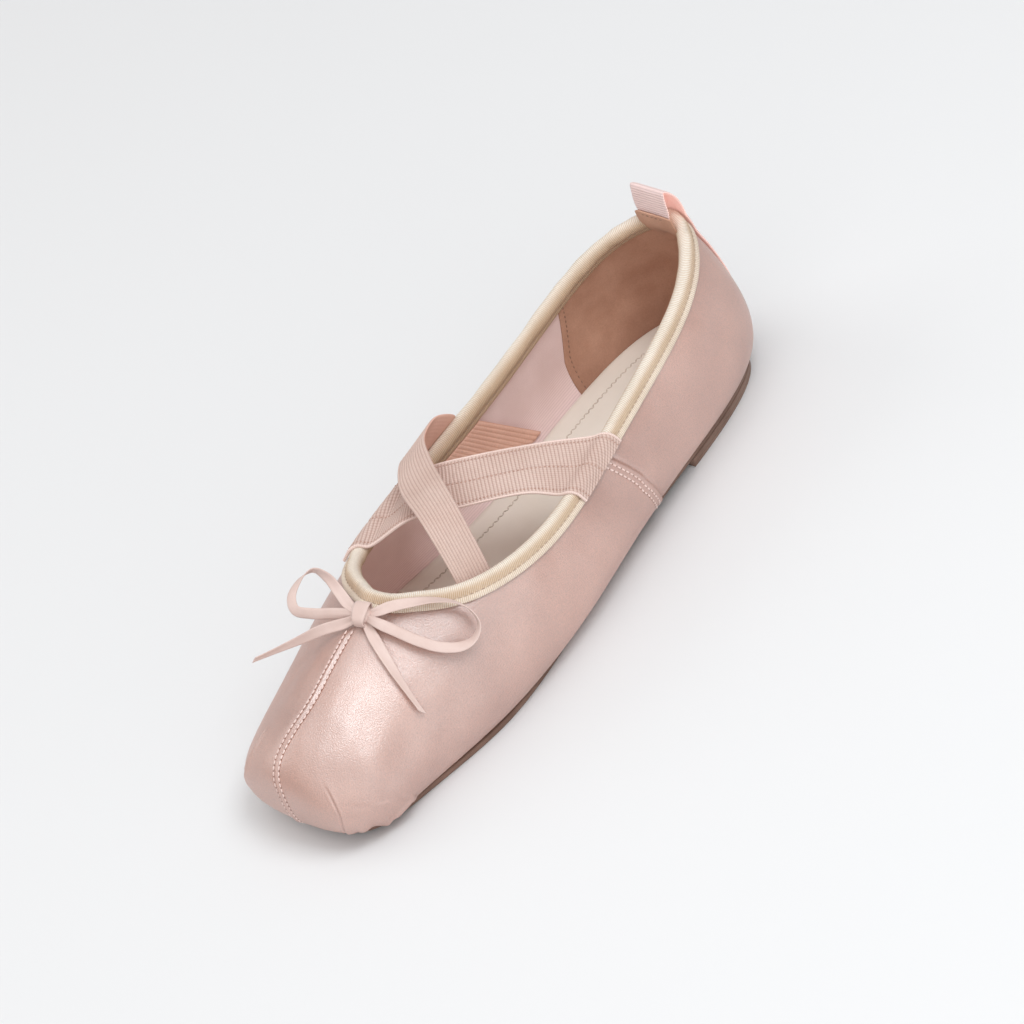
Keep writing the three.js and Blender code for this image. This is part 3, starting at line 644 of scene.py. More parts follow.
# Ribbon bow: each row is a point on the ribbon's middle and the degrees its face leans from the way out.
bow = {
    "width": 3.8, "thick": 0.5, "cup": 0.22, "facing": (0.38, 0.65, 0.66), "steps": 90, "across": 13,
    "tailEnd": 0.5, "tailFrom": 0.3, "slant": 2.2, "slantRun": 6, "gather": 0.7, "gatherRun": 8,
    "fold": 0.5, "foldRun": 5, "foldAt": 0.08, "foldWide": 0.16,
    "knotAt": (7.72, 0.978), "knotOut": 3.6, "knotHalf": (2.9, 3.4, 2.2), "hold": 0.72,
    "knotTurns": 72, "knotRings": 37, "knotUv": 0.3, "crumple": 0.05,
    # the wrap's way over the knot: up it, out of it, and its width there
    "wrap": [(3.2, -1.8, 4.2), (4.1, 0.0, 4.8), (3.7, 1.9, 5.4), (1.6, 2.8, 5.5),
             (-0.9, 2.85, 5.0), (-3.0, 2.3, 4.2), (-3.9, 0.8, 3.6), (-3.6, -1.4, 3.4)],
    "wrapTurn": -12, "wrapThick": 0.6, "wrapRound": 0.25, "wrapSteps": 60, "wrapAcross": 15,
    "loopRight": [(186.5, 7.9, 53.6, -10), (182.8, 11.8, 53.9, -15), (178.3, 17.0, 53.2, -35),
                  (173.6, 22.4, 51.5, -62), (169.8, 27.9, 48.6, -82), (168.6, 32.0, 45.1, -92),
                  (170.0, 35.0, 40.9, -104), (174.5, 35.2, 38.4, -125), (179.0, 33.3, 38.7, -150),
                  (183.3, 28.9, 41.2, -160), (186.3, 23.1, 45.1, -165), (188.0, 16.2, 48.9, -170),
                  (189.4, 9.2, 52.3, -170)],
    "loopLeft": [(187.6, -4.2, 53.6, 0), (185.5, -9.6, 55.2, -10), (183.2, -16.1, 57.5, -35),
                 (183.5, -21.7, 59.0, -65), (187.9, -25.4, 57.3, -110), (193.5, -25.5, 55.0, -140),
                 (196.6, -22.0, 53.1, -155), (195.2, -14.8, 52.7, -165), (192.2, -7.8, 52.4, -170),
                 (190.2, -3.2, 51.9, -170)],
    "tailRight": [(191.4, 6.8, 50.5, 0), (194.3, 12.1, 47.1, -12), (198.5, 20.8, 40.3, -25),
                  (200.9, 26.7, 34.3, -38), (202.3, 30.7, 29.8, -45)],
    "tailLeft": [(193.1, -1.7, 51.3, 0), (198.5, -8.5, 50.7, -10), (203.9, -15.4, 48.6, -20),
                 (210.1, -22.4, 47.0, -35), (216.3, -27.7, 46.7, -50)],
}


# Middle of the knot and its axes: across the bow, up it and out of the upper.
def knotFrame():
    s, t = bow["knotAt"]
    normal = wallFrame(np.array(s), np.array(t))[2]
    across = np.array(bow["loopRight"][0][:3]) - np.array(bow["loopLeft"][0][:3])
    across = unit(across - normal * (across @ normal))
    return besideWall(np.array(s), t, bow["knotOut"]), np.stack([across, np.cross(normal, across), normal])


# A ribbon along its middle line: the width lies square to the line and to the way the bow looks, then leans.
# Its ends at the knot are carried on under the knot's wrap.
def ribbonPiece(part, name, node):
    isTail = part.startswith("tail")
    rows = np.array(bow[part], float)
    held = rows[[0, -1]].copy()
    held[:, :3] = mix(held[:, :3], knotFrame()[0], bow["hold"])
    rows = np.concatenate([held[:1], rows] if isTail else [held[:1], rows, held[1:]])
    u, length = evenShares(rows[:, :3], bow["steps"])
    line = throughRows(rows[:, :3], u)
    along = unit(np.gradient(line, axis=0))
    wide = unit(np.cross(np.array(bow["facing"]), along))
    lean = np.radians(np.interp(u * (len(rows) - 1), np.arange(len(rows)), rows[:, 3]))[:, None]
    wide = wide * np.cos(lean) + np.cross(along, wide) * np.sin(lean)
    w = np.linspace(-0.5, 0.5, bow["across"])
    narrow = np.full_like(length, bow["width"])
    ends = [length] if isTail else [length, length[-1] - length]
    for fromKnot in ends:                    # gathered where the knot holds it
        narrow = narrow * mix(bow["gather"], 1.0, smooth(fromKnot / bow["gatherRun"]))
    if isTail:                               # drawn in towards its end
        drawn = smooth((length / length[-1] - bow["tailFrom"]) / (1 - bow["tailFrom"]))
        narrow = narrow * mix(1.0, bow["tailEnd"], drawn)
    surface = line[:, None] + wide[:, None] * (w[None, :, None] * narrow[:, None, None])
    face = unit(np.cross(along, wide))
    surface = surface + face[:, None] * (bow["cup"] * (4 * w ** 2 - 0.5))[None, :, None]
    pleat = np.zeros_like(length)
    for fromKnot in ends:                    # one fold down the middle that fades away from the knot
        pleat = pleat + np.exp(-fromKnot / bow["foldRun"])
    fold = bow["fold"] * pleat[:, None] * bell(w - bow["foldAt"], bow["foldWide"])[None]
    surface = surface - face[:, None] * fold[..., None]
    if isTail:                               # cut on the slant
        nearEnd = smooth((length - length[-1] + bow["slantRun"]) / bow["slantRun"])
        cut = nearEnd[:, None] * (w * bow["slant"])[None]
        surface = surface + along[:, None] * cut[..., None]
    half = np.tile(bow["thick"] / 2 * (1 - 0.55 * np.abs(2 * w) ** 8), (len(u), 1))
    piece = bandPiece(name, surface, half, half, [finish["ribbon"]], node)


# The knot: a folded core with its poles at its sides, and a flat band wrapped over it from top to bottom.
def knotPiece():
    centre, axes = knotFrame()
    turns, rings = bow["knotTurns"], bow["knotRings"]
    a, b = np.meshgrid(np.linspace(0, 2 * np.pi, turns + 1)[:-1], np.linspace(-np.pi / 2, np.pi / 2, rings),
                       indexing="ij")
    height = 1 + bow["crumple"] * np.cos(4 * a + 2 * b) * np.cos(b)
    ball = np.stack([np.sin(b), np.cos(b) * np.cos(a), np.cos(b) * np.sin(a)], -1)
    core = centre + (ball * height[..., None] * np.array(bow["knotHalf"])) @ axes
    quads, spots = quadGrid(turns, rings, True, False)
    meshPiece("ribbon_knot", core, quads, spots * bow["knotUv"], [finish["ribbon"]], None, "bow_knot")
    way = throughRows(np.array(bow["wrap"]), np.linspace(0, 1, bow["wrapSteps"]))
    w = np.linspace(-0.5, 0.5, bow["wrapAcross"])
    turn = math.radians(bow["wrapTurn"])
    side = way[:, 2:] * w[None]
    bulge = way[:, 1:2] - bow["wrapRound"] * (2 * w[None]) ** 4
    local = np.stack([side * math.cos(turn) + way[:, :1] * math.sin(turn),
                      way[:, :1] * math.cos(turn) - side * math.sin(turn), bulge], -1)
    half = np.tile(bow["wrapThick"] / 2 * (1 - 0.5 * np.abs(2 * w) ** 8), (len(way), 1))
    bandPiece("ribbon_wrap", centre + local @ axes, half, half, [finish["ribbon"]], "bow_knot")


knotPiece()
for part, side in (("loopRight", "loop_right"), ("loopLeft", "loop_left"),
                   ("tailRight", "tail_right"), ("tailLeft", "tail_left")):
    ribbonPiece(part, "ribbon_" + side, "bow_" + side)
print("bow tied")

# Upper: satin outside, lining inside, one closed wall.
upper = {
    "around": 540, "outsideSteps": 120, "insideSteps": 34, "fineSteps": 4001, "vampLining": 2.6,
    # where the rings lie closer together: place round the shoe, how much closer and over what width
    "closer": [(8.0, 5, 0.2), (3.05, 2.5, 0.22), (12.95, 2.5, 0.22), (7.28, 3, 0.22), (6.5, 2, 0.2),
               (8.75, 1.5, 0.3)],
    "seam": {"line": [(8.028, 0.961), (7.992, 0.913), (7.954, 0.83), (8.011, 0.711),
                      (8.041, 0.585), (8.017, 0.47), (7.947, 0.296), (7.952, 0.1)], "steps": 40,
             "rows": 1.25, "ridge": 0.36, "ridgeWide": 0.5, "trough": 0.3, "troughWide": 0.5,
             "puff": 0.22, "puffWide": 3.2, "endFade": 0.03,
             "pitch": 1.9, "phase": 0.2, "stitchLift": 0.06, "stitchSteps": 160},
    "sideSeam": {"near": [(3.2, 0.97), (3.166, 0.872), (3.04, 0.531), (2.999, 0.31), (2.854, 0.03)],
                 "far": [(12.8, 0.97), (12.834, 0.872), (12.96, 0.531), (13.0, 0.31), (13.146, 0.03)],
                 "lip": 0.75, "lipFade": 9, "grooveDeep": 0.55, "grooveAt": 0.45, "rowDeep": 0.22, "wide": 0.5,
                 "rows": (2.2, 4.2), "pitch": 1.9, "phase": 0.2, "stitchLift": 0.46, "stitchSteps": 60},
    # the stitch's size, then the size of the dark spindle that paints the shade in a needle hole, and how deep
    # it is sunk
    "stitch": {"length": 1.5, "radius": 0.34}, "needleHole": {"length": 0.5, "radius": 0.24}, "holeDeep": 0.1,
    # each crease: its line as places (s, t) on the wall, its depth and its width
    # some have a lip that stands up on one side, 1 towards larger s, and fades away from the line
    "creases": [
        {"line": [(7.46, 0.54), (7.281, 0.425), (7.204, 0.302), (7.25, 0.16), (7.314, 0.03)],
         "deep": 0.28, "wide": 0.4, "lip": 0.36, "fade": 5, "side": -1},
        {"line": [(8.63, 0.66), (8.647, 0.619), (8.722, 0.45), (8.85, 0.30), (8.997, 0.15)],
         "deep": 0.5, "wide": 0.8, "lip": 0.7, "fade": 6, "side": -1},
        {"line": [(6.84, 0.02), (6.62, 0.07), (6.44, 0.115), (6.26, 0.16)],
         "deep": 1.2, "wide": 0.9, "lip": 1.35, "fade": 4, "side": 1},
        {"line": [(7.08, 0.2), (7.1, 0.02)], "deep": 0.28, "wide": 1.1},
        {"line": [(6.56, 0.19), (6.6, 0.02)], "deep": 0.3, "wide": 1.2},
        {"line": [(6.33, 0.17), (6.36, 0.02)], "deep": 0.28, "wide": 1.2},
        {"line": [(6.86, 0.26), (6.82, 0.03)], "deep": 0.45, "wide": 1.8},
        {"line": [(5.9, 0.68), (6.2, 0.56), (6.46, 0.44), (6.6, 0.28)], "deep": 0.5, "wide": 4.5},
        {"line": [(5.2, 0.62), (5.6, 0.45), (5.9, 0.3)], "deep": 0.3, "wide": 4.0},
        {"line": [(3.5, 0.80), (3.85, 0.50), (4.2, 0.30)], "deep": 0.3, "wide": 4.5},
        {"line": [(1.5, 0.72), (1.83, 0.5), (2.3, 0.34)], "deep": 0.3, "wide": 5.0},
    ],
    # every crease: the swell beside it, how many widths out that lies, and how its two ends fade
    "swell": 0.55, "swellAt": 1.9, "fadeIn": 0.35, "fadeOut": 0.05, "endKept": 0.3,
}


# Distance of every point to a line of points, and the share of the line there.
def lineDistance(points, line):
    best = np.full(points.shape[:-1], 1e9)
    where = np.zeros_like(best)
    steps = len(line) - 1
    for k in range(steps):
        a, d = line[k], line[k + 1] - line[k]
        f = np.clip(((points - a) * d).sum(-1) / (d * d).sum(), 0, 1)
        far = np.linalg.norm(points - a - f[..., None] * d, axis=-1)
        where = np.where(far < best, (k + f) / steps, where)
        best = np.minimum(best, far)
    return best, where


# A smooth line through places (s, t).
def placesOnWall(places, count=24):
    rows = throughRows(np.array(places, float), np.linspace(0, 1, count))
    return rows[:, 0], rows[:, 1]


# Signed distance to a line of places, positive towards larger s, and the share along the line.
def signedDistance(s, t, points, places):
    lineS, lineT = placesOnWall(places)
    far, share = lineDistance(points, wallPoint(lineS, lineT))
    order = np.argsort(lineT)
    return np.sign(s - np.interp(t, lineT[order], lineS[order])) * far, share


# A step that stands up on the positive side of a line and fades away from it.
def lipHeight(signed, fade, rise=0.5):
    return np.where(signed > 0, np.exp(-signed / fade), 0) * smooth(signed / rise)


# Height of the satin off the wall: toe seam between two stitched troughs, overlapped side seams and creases.
def satinRelief(s, t, points):
    seam, side = upper["seam"], upper["sideSeam"]
    far, share = lineDistance(points, wallPoint(*placesOnWall(seam["line"], seam["steps"])))
    ends = smooth(share / seam["endFade"]) * smooth((1 - share) / seam["endFade"])
    ridge = seam["ridge"] * bell(far, seam["ridgeWide"])
    trough = seam["trough"] * bell(far - seam["rows"], seam["troughWide"])
    height = ends * (ridge - trough + seam["puff"] * bell(far, seam["puffWide"]))
    for which, ahead in (("near", 1), ("far", -1)):
        signed = ahead * signedDistance(s, t, points, side[which])[0]
        height = height + side["lip"] * lipHeight(signed, side["lipFade"])
        height = height - side["grooveDeep"] * bell(signed + side["grooveAt"], side["wide"])
        for row in side["rows"]:
            height = height - side["rowDeep"] * bell(signed - row, side["wide"])
    for crease in upper["creases"]:
        signed, share = signedDistance(s, t, points, crease["line"])
        taper = smooth(share / upper["fadeIn"]) * smooth((1 - share) / upper["fadeOut"] + upper["endKept"])
        far, wide = np.abs(signed), crease["wide"]
        fold = crease["deep"] * (upper["swell"] * bell(far - upper["swellAt"] * wide, wide) - bell(far, wide))
        if "lip" in crease:
            fold = fold + crease["lip"] * lipHeight(crease["side"] * signed, crease["fade"])
        height = height + taper * fold
    return height


# The upper: rings of the outside with its relief, then of the inside, closest together at the seams and folds.
def upperPiece():
    even = np.linspace(0, ringCount, upper["fineSteps"])
    dense = np.ones_like(even)
    for at, more, wide in upper["closer"]:
        dense = dense + more * bell(even - at, wide)
    run = np.concatenate([[0], np.cumsum((dense[1:] + dense[:-1]) / 2)])
    around = np.interp(np.linspace(0, run[-1], upper["around"] + 1)[:-1], run, even)
    shares = np.linspace(0, 1, upper["outsideSteps"])
    s, t = np.meshgrid(around, shares, indexing="ij")
    base = wallPoint(s, t)
    _, _, normal = wallFrame(s, t)
    outside = base + normal * satinRelief(s, t, base)[..., None]
    s, t = np.meshgrid(around, np.linspace(1, 0, upper["insideSteps"]), indexing="ij")
    inside = besideWall(s, t, -shoe["wall"])
    points = np.concatenate([outside, inside], 1)
    rows, columns = points.shape[:2]
    column = np.tile(np.arange(columns), rows)
    inner = (column >= upper["outsideSteps"]) & (column < columns - 1)
    front = np.repeat(np.abs(around - sideCount) < upper["vampLining"], columns)
    cloths = [finish["satin"], finish["lining"], finish["vampLining"]]
    tubePiece("satin_upper", points, cloths, "upper", True, inner * (1 + front))


upperPiece()
print("upper shaped")


# The heel's inside lining: a thin patch round the back, its front edges slanting from frontFoot to frontTop.
counter = {"frontTop": 2.17, "frontFoot": 2.36, "low": 0.04, "high": 0.985, "inner": -1.98, "outer": -1.66,
           "around": 161, "rows": 40, "thinFrom": 0.97, "thinRun": 0.03, "thin": 0.6,
           "stitchInset": 0.06, "stitchLift": 0.02, "pitch": 2.2, "stitch": {"length": 1.2, "radius": 0.24}}
# The lining's top at the middle of the heel, over the inner end of the pull tab and the bead:
# share, out, up and how far each row is straight across the heel, and how far the top corners are rounded off.
cover = {"half": 0.40, "halfWidth": 8.4, "thick": 0.5, "corner": 0.14, "across": 61, "rows": 50,
         "way": [(0.70, -2.2, 0, 0), (0.78, -2.9, 0, 0), (0.86, -3.8, 0, 0.1), (0.93, -4.8, 0, 0.3),
                 (1, -5.7, 1.2, 0.6), (1, -5.9, 3.4, 0.9), (1, -5.5, 6.0, 1), (1, -4.8, 8.6, 1),
                 (1, -4.1, 10.6, 1)],
         "stitchRow": 45, "stitchEnds": 12, "stitchFacing": (0.95, 0.0, 0.3), "stitchLift": 0.34, "pitch": 2.0,
         "stitch": {"length": 1.3, "radius": 0.2}}


# The lining: a front that thins towards its two edges, a back at one depth, and stitches along each edge.
def counterPiece():
    v = np.linspace(counter["low"], counter["high"], counter["rows"])
    w = np.linspace(-1, 1, counter["around"])
    edge = mix(counter["frontFoot"], counter["frontTop"], smooth(v))
    s = edge[None] * w[:, None]
    t = np.tile(v, (len(w), 1))
    full = 1 - smooth((np.abs(w) - counter["thinFrom"]) / counter["thinRun"]) * counter["thin"]
    depth = counter["outer"] + (counter["inner"] - counter["outer"]) * np.tile(full[:, None], (1, len(v)))
    front = besideWall(s, t, depth)
    back = besideWall(s, t, np.full_like(s, counter["outer"]))
    points = np.concatenate([front, back[:, ::-1]], 1)
    tubePiece("heel_lining", points, [finish["heelSuede"]], "upper")
    rows = []
    for side in (-1, 1):
        s = side * (edge - counter["stitchInset"])
        line = besideWall(s, v, np.full_like(v, counter["inner"] - counter["stitchLift"]))
        rows.append(stitchRun(line, -wallFrame(s, v)[2], counter["pitch"]))
    stitchPiece("lining_stitches", rows, counter["stitch"], finish["brownThread"], "upper")


# Rows across the middle of the heel along a band's way, each bent round the heel or straight across it.
def heelRows(band, w):
    s = ringCount + band["half"] * w
    rows = []
    for share, out, up, flat in band["way"]:
        off = np.full_like(s, out)
        rise = up * (1 - band["corner"] * w ** 6)
        straight = besideWall(np.full_like(s, ringCount), share, off, rise)
        straight[:, 1] += band["halfWidth"] * w
        rows.append(mix(besideWall(s, share, off, rise), straight, flat))
    return np.array(rows)


# The cover: a band along its way, with a row of stitches near its top.
def coverPiece():
    w = np.linspace(-1, 1, cover["across"])
    surface = throughRows(heelRows(cover, w), np.linspace(0, 1, cover["rows"]))
    half = np.full(surface.shape[:2], cover["thick"] / 2)
    bandPiece("heel_cover", surface, half, half, [finish["suede"]], "upper")
    line = surface[cover["stitchRow"], cover["stitchEnds"]:-cover["stitchEnds"]]
    inward = np.tile(cover["stitchFacing"], (len(line), 1))
    row = stitchRun(line + inward * cover["stitchLift"], inward, cover["pitch"])
    stitchPiece("cover_stitches", [row], cover["stitch"], finish["brownThread"], "upper")


counterPiece()
coverPiece()


# Rows of stitches along the seams, and at each end of every stitch a dark spindle, sunk a little, that paints
# the shade of a needle hole.
def upperStitches():
    toe, quarter, rows, holes = upper["seam"], upper["sideSeam"], [], []

    def row(places, off, seam, phase):
        s, t = placesOnWall(places, seam["stitchSteps"])
        _, along, out = wallFrame(s, t)
        line = wallPoint(s, t) + along * off + out * seam["stitchLift"]
        rows.append(stitchRun(line, out, seam["pitch"], phase))
        holes.append(stitchRun(line - out * upper["holeDeep"], out, seam["pitch"], phase + 0.5))

    for side in (-1, 1):
        row(toe["line"], side * toe["rows"], toe, side * toe["phase"])
    for which, ahead in (("near", 1), ("far", -1)):
        for off in quarter["rows"]:
            row(quarter[which], ahead * off, quarter, quarter["phase"])
    stitchPiece("seam_stitches", rows, upper["stitch"], finish["thread"], "upper")
    stitchPiece("needle_hole_shade", holes, upper["needleHole"], finish["holeShade"], "upper")


upperStitches()
print("linings and seams sewn")

# Collar binding: a folded elastic tape; its profile is how far out of the wall and up from the topline.
binding = {
    "around": 620, "ripple": 0.07, "rippleWaves": (2.9, 7.3, 19), "beadFrom": 0.8,
    "profile": [(0.4, -3.2), (0.5, -3.35), (1.0, -3.35), (1.3, -3.0), (1.3, -1.7), (0.98, -1.1), (1.35, -0.55),
                (1.8, 0.3), (2.0, 1.3), (1.75, 2.4), (1.05, 3.25), (0.0, 3.75), (-1.3, 3.75), (-2.45, 3.25),
                (-3.2, 2.4), (-3.5, 1.3), (-3.3, 0.3), (-2.95, -0.55), (-2.6, -1.1), (-2.9, -1.7),
                (-2.9, -3.0), (-2.65, -3.35), (-2.15, -3.35), (-2.05, -3.2), (-2.05, 0.35), (0.4, 0.35)],
    "stitchOut": 1.02, "stitchIn": -2.66, "stitchUp": -1.1, "stitchSteps": 1601, "pitch": 2.1,
    "stitch": {"length": 1.5, "radius": 0.22},
}


# The tape: its profile carried round the topline, the bead swelling a little about the middle of the wall,
# and a row of stitches on each flange.
def bindingPiece():
    s = np.linspace(0, ringCount, binding["around"] + 1)[:-1]
    out, up = np.array(binding["profile"]).T
    slow, quick, fine = binding["rippleWaves"]
    swell = 1 + binding["ripple"] * (np.sin(slow * s) * np.sin(quick * s + 1) + 0.5 * np.sin(fine * s))
    bead = smooth((up + binding["beadFrom"]) / binding["beadFrom"])
    middle = -shoe["wall"] / 2
    outOf = middle + (out[None] - middle) * (1 + (swell[:, None] - 1) * bead[None])
    grid = np.broadcast_to(s[:, None], outOf.shape)
    points = besideWall(grid, np.ones_like(grid), outOf, np.broadcast_to(up, outOf.shape))
    tubePiece("collar_tape", points, [finish["binding"]], "collar_binding", True)
    s = np.linspace(0, ringCount, binding["stitchSteps"])
    top = np.ones_like(s)
    rows = []
    for out, facing in ((binding["stitchOut"], 1), (binding["stitchIn"], -1)):
        line = besideWall(s, top, top * out, top * binding["stitchUp"])
        rows.append(stitchRun(line, facing * wallFrame(s, top)[2], binding["pitch"]))
    stitchPiece("tape_stitches", rows, binding["stitch"], finish["seamThread"], "collar_binding")


bindingPiece()
print("collar bound")

# Elastic straps: points along both edges where they cross the opening, and the ways over and inside the bead.
straps = {
    "thick": 0.9, "ribPitch": 1.7,
    # up, out and share of the slant
    "overBead": [(-3.1, 2.0, 0.0), (1.4, 2.7, 0.35), (3.9, 1.4, 0.75), (4.6, -1.3, 1.0)],
    # share, out and up
    "insideBead": [(0.8, -2.7, 0.0), (0.9, -3.5, 0.0), (1.0, -4.6, 0.5), (1.0, -4.8, 3.2)],
    "under": {"near": (3.03, 3.63), "far": (11.86, 10.68), "slant": 0.1, "across": 57, "steps": 700, "ease": 22,
              "ribPitch": 1.25, "ribDeep": 0.08, "plainEdge": 0.07, "hidden": 400, "squareRows": (250, 520),
              "seamDeep": 0.3, "seamWide": 0.025, "seamLift": -0.2, "seamPitch": 1.5,
              # columns of each edge's cord and of the stitches beside it
              "edges": {"back": (1, 5), "front": (-2, -6)},
              "edgeHalf": (0.62, 0.5), "edgeTurns": 10, "edgeLift": 0.02, "edgePitch": 1.25,
              "stitch": {"length": 0.85, "radius": 0.2},
              "back": [(101, 14.5, 51), (116, 1, 56), (127.5, -15, 55.5)],
              "front": [(120, 18, 46), (137, 2.3, 50.5), (149, -10, 52)]},
    "over": {"near": (4.72, 5.22), "far": (12.62, 12.1), "across": 121, "steps": 240,
             "ribs": 12, "ribDeep": 0.07,
             "back": [(142.5, 12, 60), (127.5, -14, 61), (120, -23.5, 59.5), (109, -29.5, 55.5)],
             "front": [(153.5, 4.5, 60), (145, -13, 59.5), (140.5, -19, 58.5), (131, -28, 55)]},
    "tail": {"back": (12.78, 13.22), "front": (12.32, 12.76), "share": (0.86, 0.18), "depth": -2.4,
             "thick": 0.9, "across": 111, "rows": 60, "ribs": 11, "ribDeep": 0.12},
}


# Rows of a strap from outside the collar up over the bead.
def overBeadRows(ends, slant, w):
    s = mix(*ends, w)
    return [besideWall(s + lead * slant, np.ones_like(s), np.full_like(s, out), np.full_like(s, up))
            for up, out, lead in straps["overBead"]]


# Rows of a strap from inside the collar up past the bead.
def insideBeadRows(ends, w):
    s = mix(*ends, w)
    return [besideWall(s, np.full_like(s, share), np.full_like(s, out), np.full_like(s, up))
            for share, out, up in straps["insideBead"]]


# Rows where a strap is free, from its back edge to its front edge.
def freeRows(strap, w):
    return [mix(np.array(b, float), np.array(f, float), w[:, None])
            for b, f in zip(strap["back"], strap["front"])]


# The rows of a band averaged along it, so that it bends over the bead in a round.
def easedRows(surface, reach):
    eased = surface.copy()
    weight = bell(np.arange(-reach, reach + 1), reach / 1.8)
    weight = weight / weight.sum()
    middle = sum(w * surface[k:len(surface) - 2 * reach + k] for k, w in enumerate(weight))
    eased[reach:-reach] = middle
    firstMove = eased[reach] - surface[reach]
    lastMove = eased[-1 - reach] - surface[-1 - reach]
    for k in range(reach):                   # the ends keep their place
        share = smooth(k / reach)
        eased[k] = mix(surface[k], firstMove + surface[k], share)
        eased[-1 - k] = mix(surface[-1 - k], lastMove + surface[-1 - k], share)
    return eased


# Lower elastic: ribs square across it, a sunk line of stitches down the middle and a cord along each edge.
def strapUnderPiece():
    strap = straps["under"]
    w = np.linspace(0, 1, strap["across"])
    rows = np.array(overBeadRows(strap["near"], strap["slant"], w) + freeRows(strap, w)
                    + overBeadRows(strap["far"], strap["slant"], w)[::-1])
    u, _ = evenShares(rows, strap["steps"])
    surface = easedRows(throughRows(rows, u), strap["ease"])
    run = squareRun(surface, strap["squareRows"][0])
    # the ribs start afresh under the other strap
    run[strap["hidden"]:] = squareRun(surface, strap["squareRows"][1])[strap["hidden"]:]
    rib = -np.cos(2 * np.pi * run / strap["ribPitch"])
    edge = smooth((0.5 - np.abs(w - 0.5)) / strap["plainEdge"])[None]
    middle = bell(w - 0.5, strap["seamWide"])[None]
    relief = strap["ribDeep"] * rib * edge * (1 - middle) - strap["seamDeep"] * middle
    half = straps["thick"] / 2 * (1 - 0.5 * (np.abs(2 * w - 1) ** 14))[None] + np.zeros_like(rib)
    bandPiece("lower_elastic", surface, half + relief, half + 0.5 * relief, [finish["elasticAcross"]],
              "strap_under", run)
    normal = unit(np.cross(np.gradient(surface, axis=0), np.gradient(surface, axis=1)))
    over = unit(np.gradient(surface, axis=1))
    turn = np.linspace(0, 2 * np.pi, strap["edgeTurns"] + 1)[:-1]
    high, wide = strap["edgeHalf"]

    def stitchRow(column, lift, pitch):
        line = surface + normal * (straps["thick"] / 2 + lift)
        return stitchRun(line[:, column], normal[:, column], pitch)

    stitches = [stitchRow(len(w) // 2, strap["seamLift"], strap["seamPitch"])]
    for side, (cord, beside) in strap["edges"].items():
        ringOf = (normal[:, cord, None] * (high * np.sin(turn))[None, :, None]
                  + over[:, cord, None] * (wide * np.cos(turn))[None, :, None])
        tubePiece("lower_elastic_" + side + "_edge", surface[:, cord, None] + ringOf, [finish["elasticEdge"]],
                  "strap_under")
        stitches.append(stitchRow(beside, strap["edgeLift"], strap["edgePitch"]))
    stitchPiece("elastic_stitches", stitches, strap["stitch"], finish["elasticThread"], "strap_under")


# A ribbed elastic: ribs run along it, in step with the rib colour.
def ribbedBand(name, surface, thick, ribs, deep, materials, node):
    w = np.linspace(0, 1, surface.shape[1])
    relief = -deep * np.cos(2 * np.pi * ribs * w)[None] + np.zeros((len(surface), 1))
    half = thick / 2 * (1 - 0.5 * (np.abs(2 * w - 1) ** 20))[None] + relief
    bandPiece(name, surface, half, half - 0.7 * relief, [finish[m] for m in materials], node,
              None, ribs * straps["ribPitch"])


# Upper elastic: from inside the near wall, across, and over the far bead.
def strapOverPiece():
    strap = straps["over"]
    w = np.linspace(0, 1, strap["across"])
    rows = np.array(insideBeadRows(strap["near"], w) + freeRows(strap, w)
                    + overBeadRows(strap["far"], 0, w)[::-1][1:])
    surface = throughRows(rows, evenShares(rows, strap["steps"])[0])
    ribbedBand("upper_elastic", surface, straps["thick"], strap["ribs"], strap["ribDeep"],
               ["elasticAlong", "elasticInside"], "strap_over")


# The end of the elastic inside the far wall, a flat patch from the collar down.
def strapTailPiece():
    tail = straps["tail"]
    w = np.linspace(0, 1, tail["across"])
    top, foot = [besideWall(mix(tail["back"][k], tail["front"][k], w), np.full_like(w, tail["share"][k]),
                            np.full_like(w, tail["depth"])) for k in (0, 1)]
    surface = mix(top[None], foot[None], np.linspace(0, 1, tail["rows"])[:, None, None])
    ribbedBand("elastic_end", surface, tail["thick"], tail["ribs"], tail["ribDeep"], ["elasticEnd"],
               "strap_tail")


strapUnderPiece()
strapOverPiece()
strapTailPiece()
print("straps crossed")

# Pull tab: a ribbed ribbon looped over the bead at the heel, its outer end sewn down the heel as a tape.
# Each row is share, out, up and how far it is straight across the heel and not bent round it.
tab = {
    "half": 0.34, "halfWidth": 7.6, "thick": 0.8, "corner": 0, "ribPitch": 1.0, "ribDeep": 0.06,
    "across": 31, "steps": 420,
    "way": [(0.82, -2.8, 0, 0), (0.91, -3.6, 0, 0), (1, -4.7, 1.2, 0), (1, -4.6, 5.5, 0.5), (1, -2.6, 11, 1),
            (1, 0.6, 16.6, 1), (1, 2.2, 18.4, 1), (1, 3.2, 16.4, 1), (1, 3.8, 11, 1), (1, 3.6, 5.5, 0.6),
            (1, 2.9, 1.4, 0.2), (0.93, 2.3, 0, 0), (0.82, 1.2, 0, 0), (0.65, 1.1, 0, 0), (0.48, 1.1, 0, 0),
            (0.32, 1.1, 0, 0), (0.18, 1.1, 0, 0)],
}


# The tab: a band along its way, its ribs square across it.
def pullTabPiece():
    w = np.linspace(-1, 1, tab["across"])
    rows = heelRows(tab, w)
    u, length = evenShares(rows, tab["steps"])
    surface = throughRows(rows, u)
    run = np.tile(length[:, None], (1, len(w)))
    rib = tab["ribDeep"] * np.cos(2 * np.pi * run / tab["ribPitch"])
    half = tab["thick"] / 2 * (1 - 0.5 * np.abs(w) ** 14)[None] - rib
    bandPiece("heel_tab", surface, half, half, [finish["tabInside"], finish["tab"]], "pull_tab", run)


pullTabPiece()
print("pull tab looped")


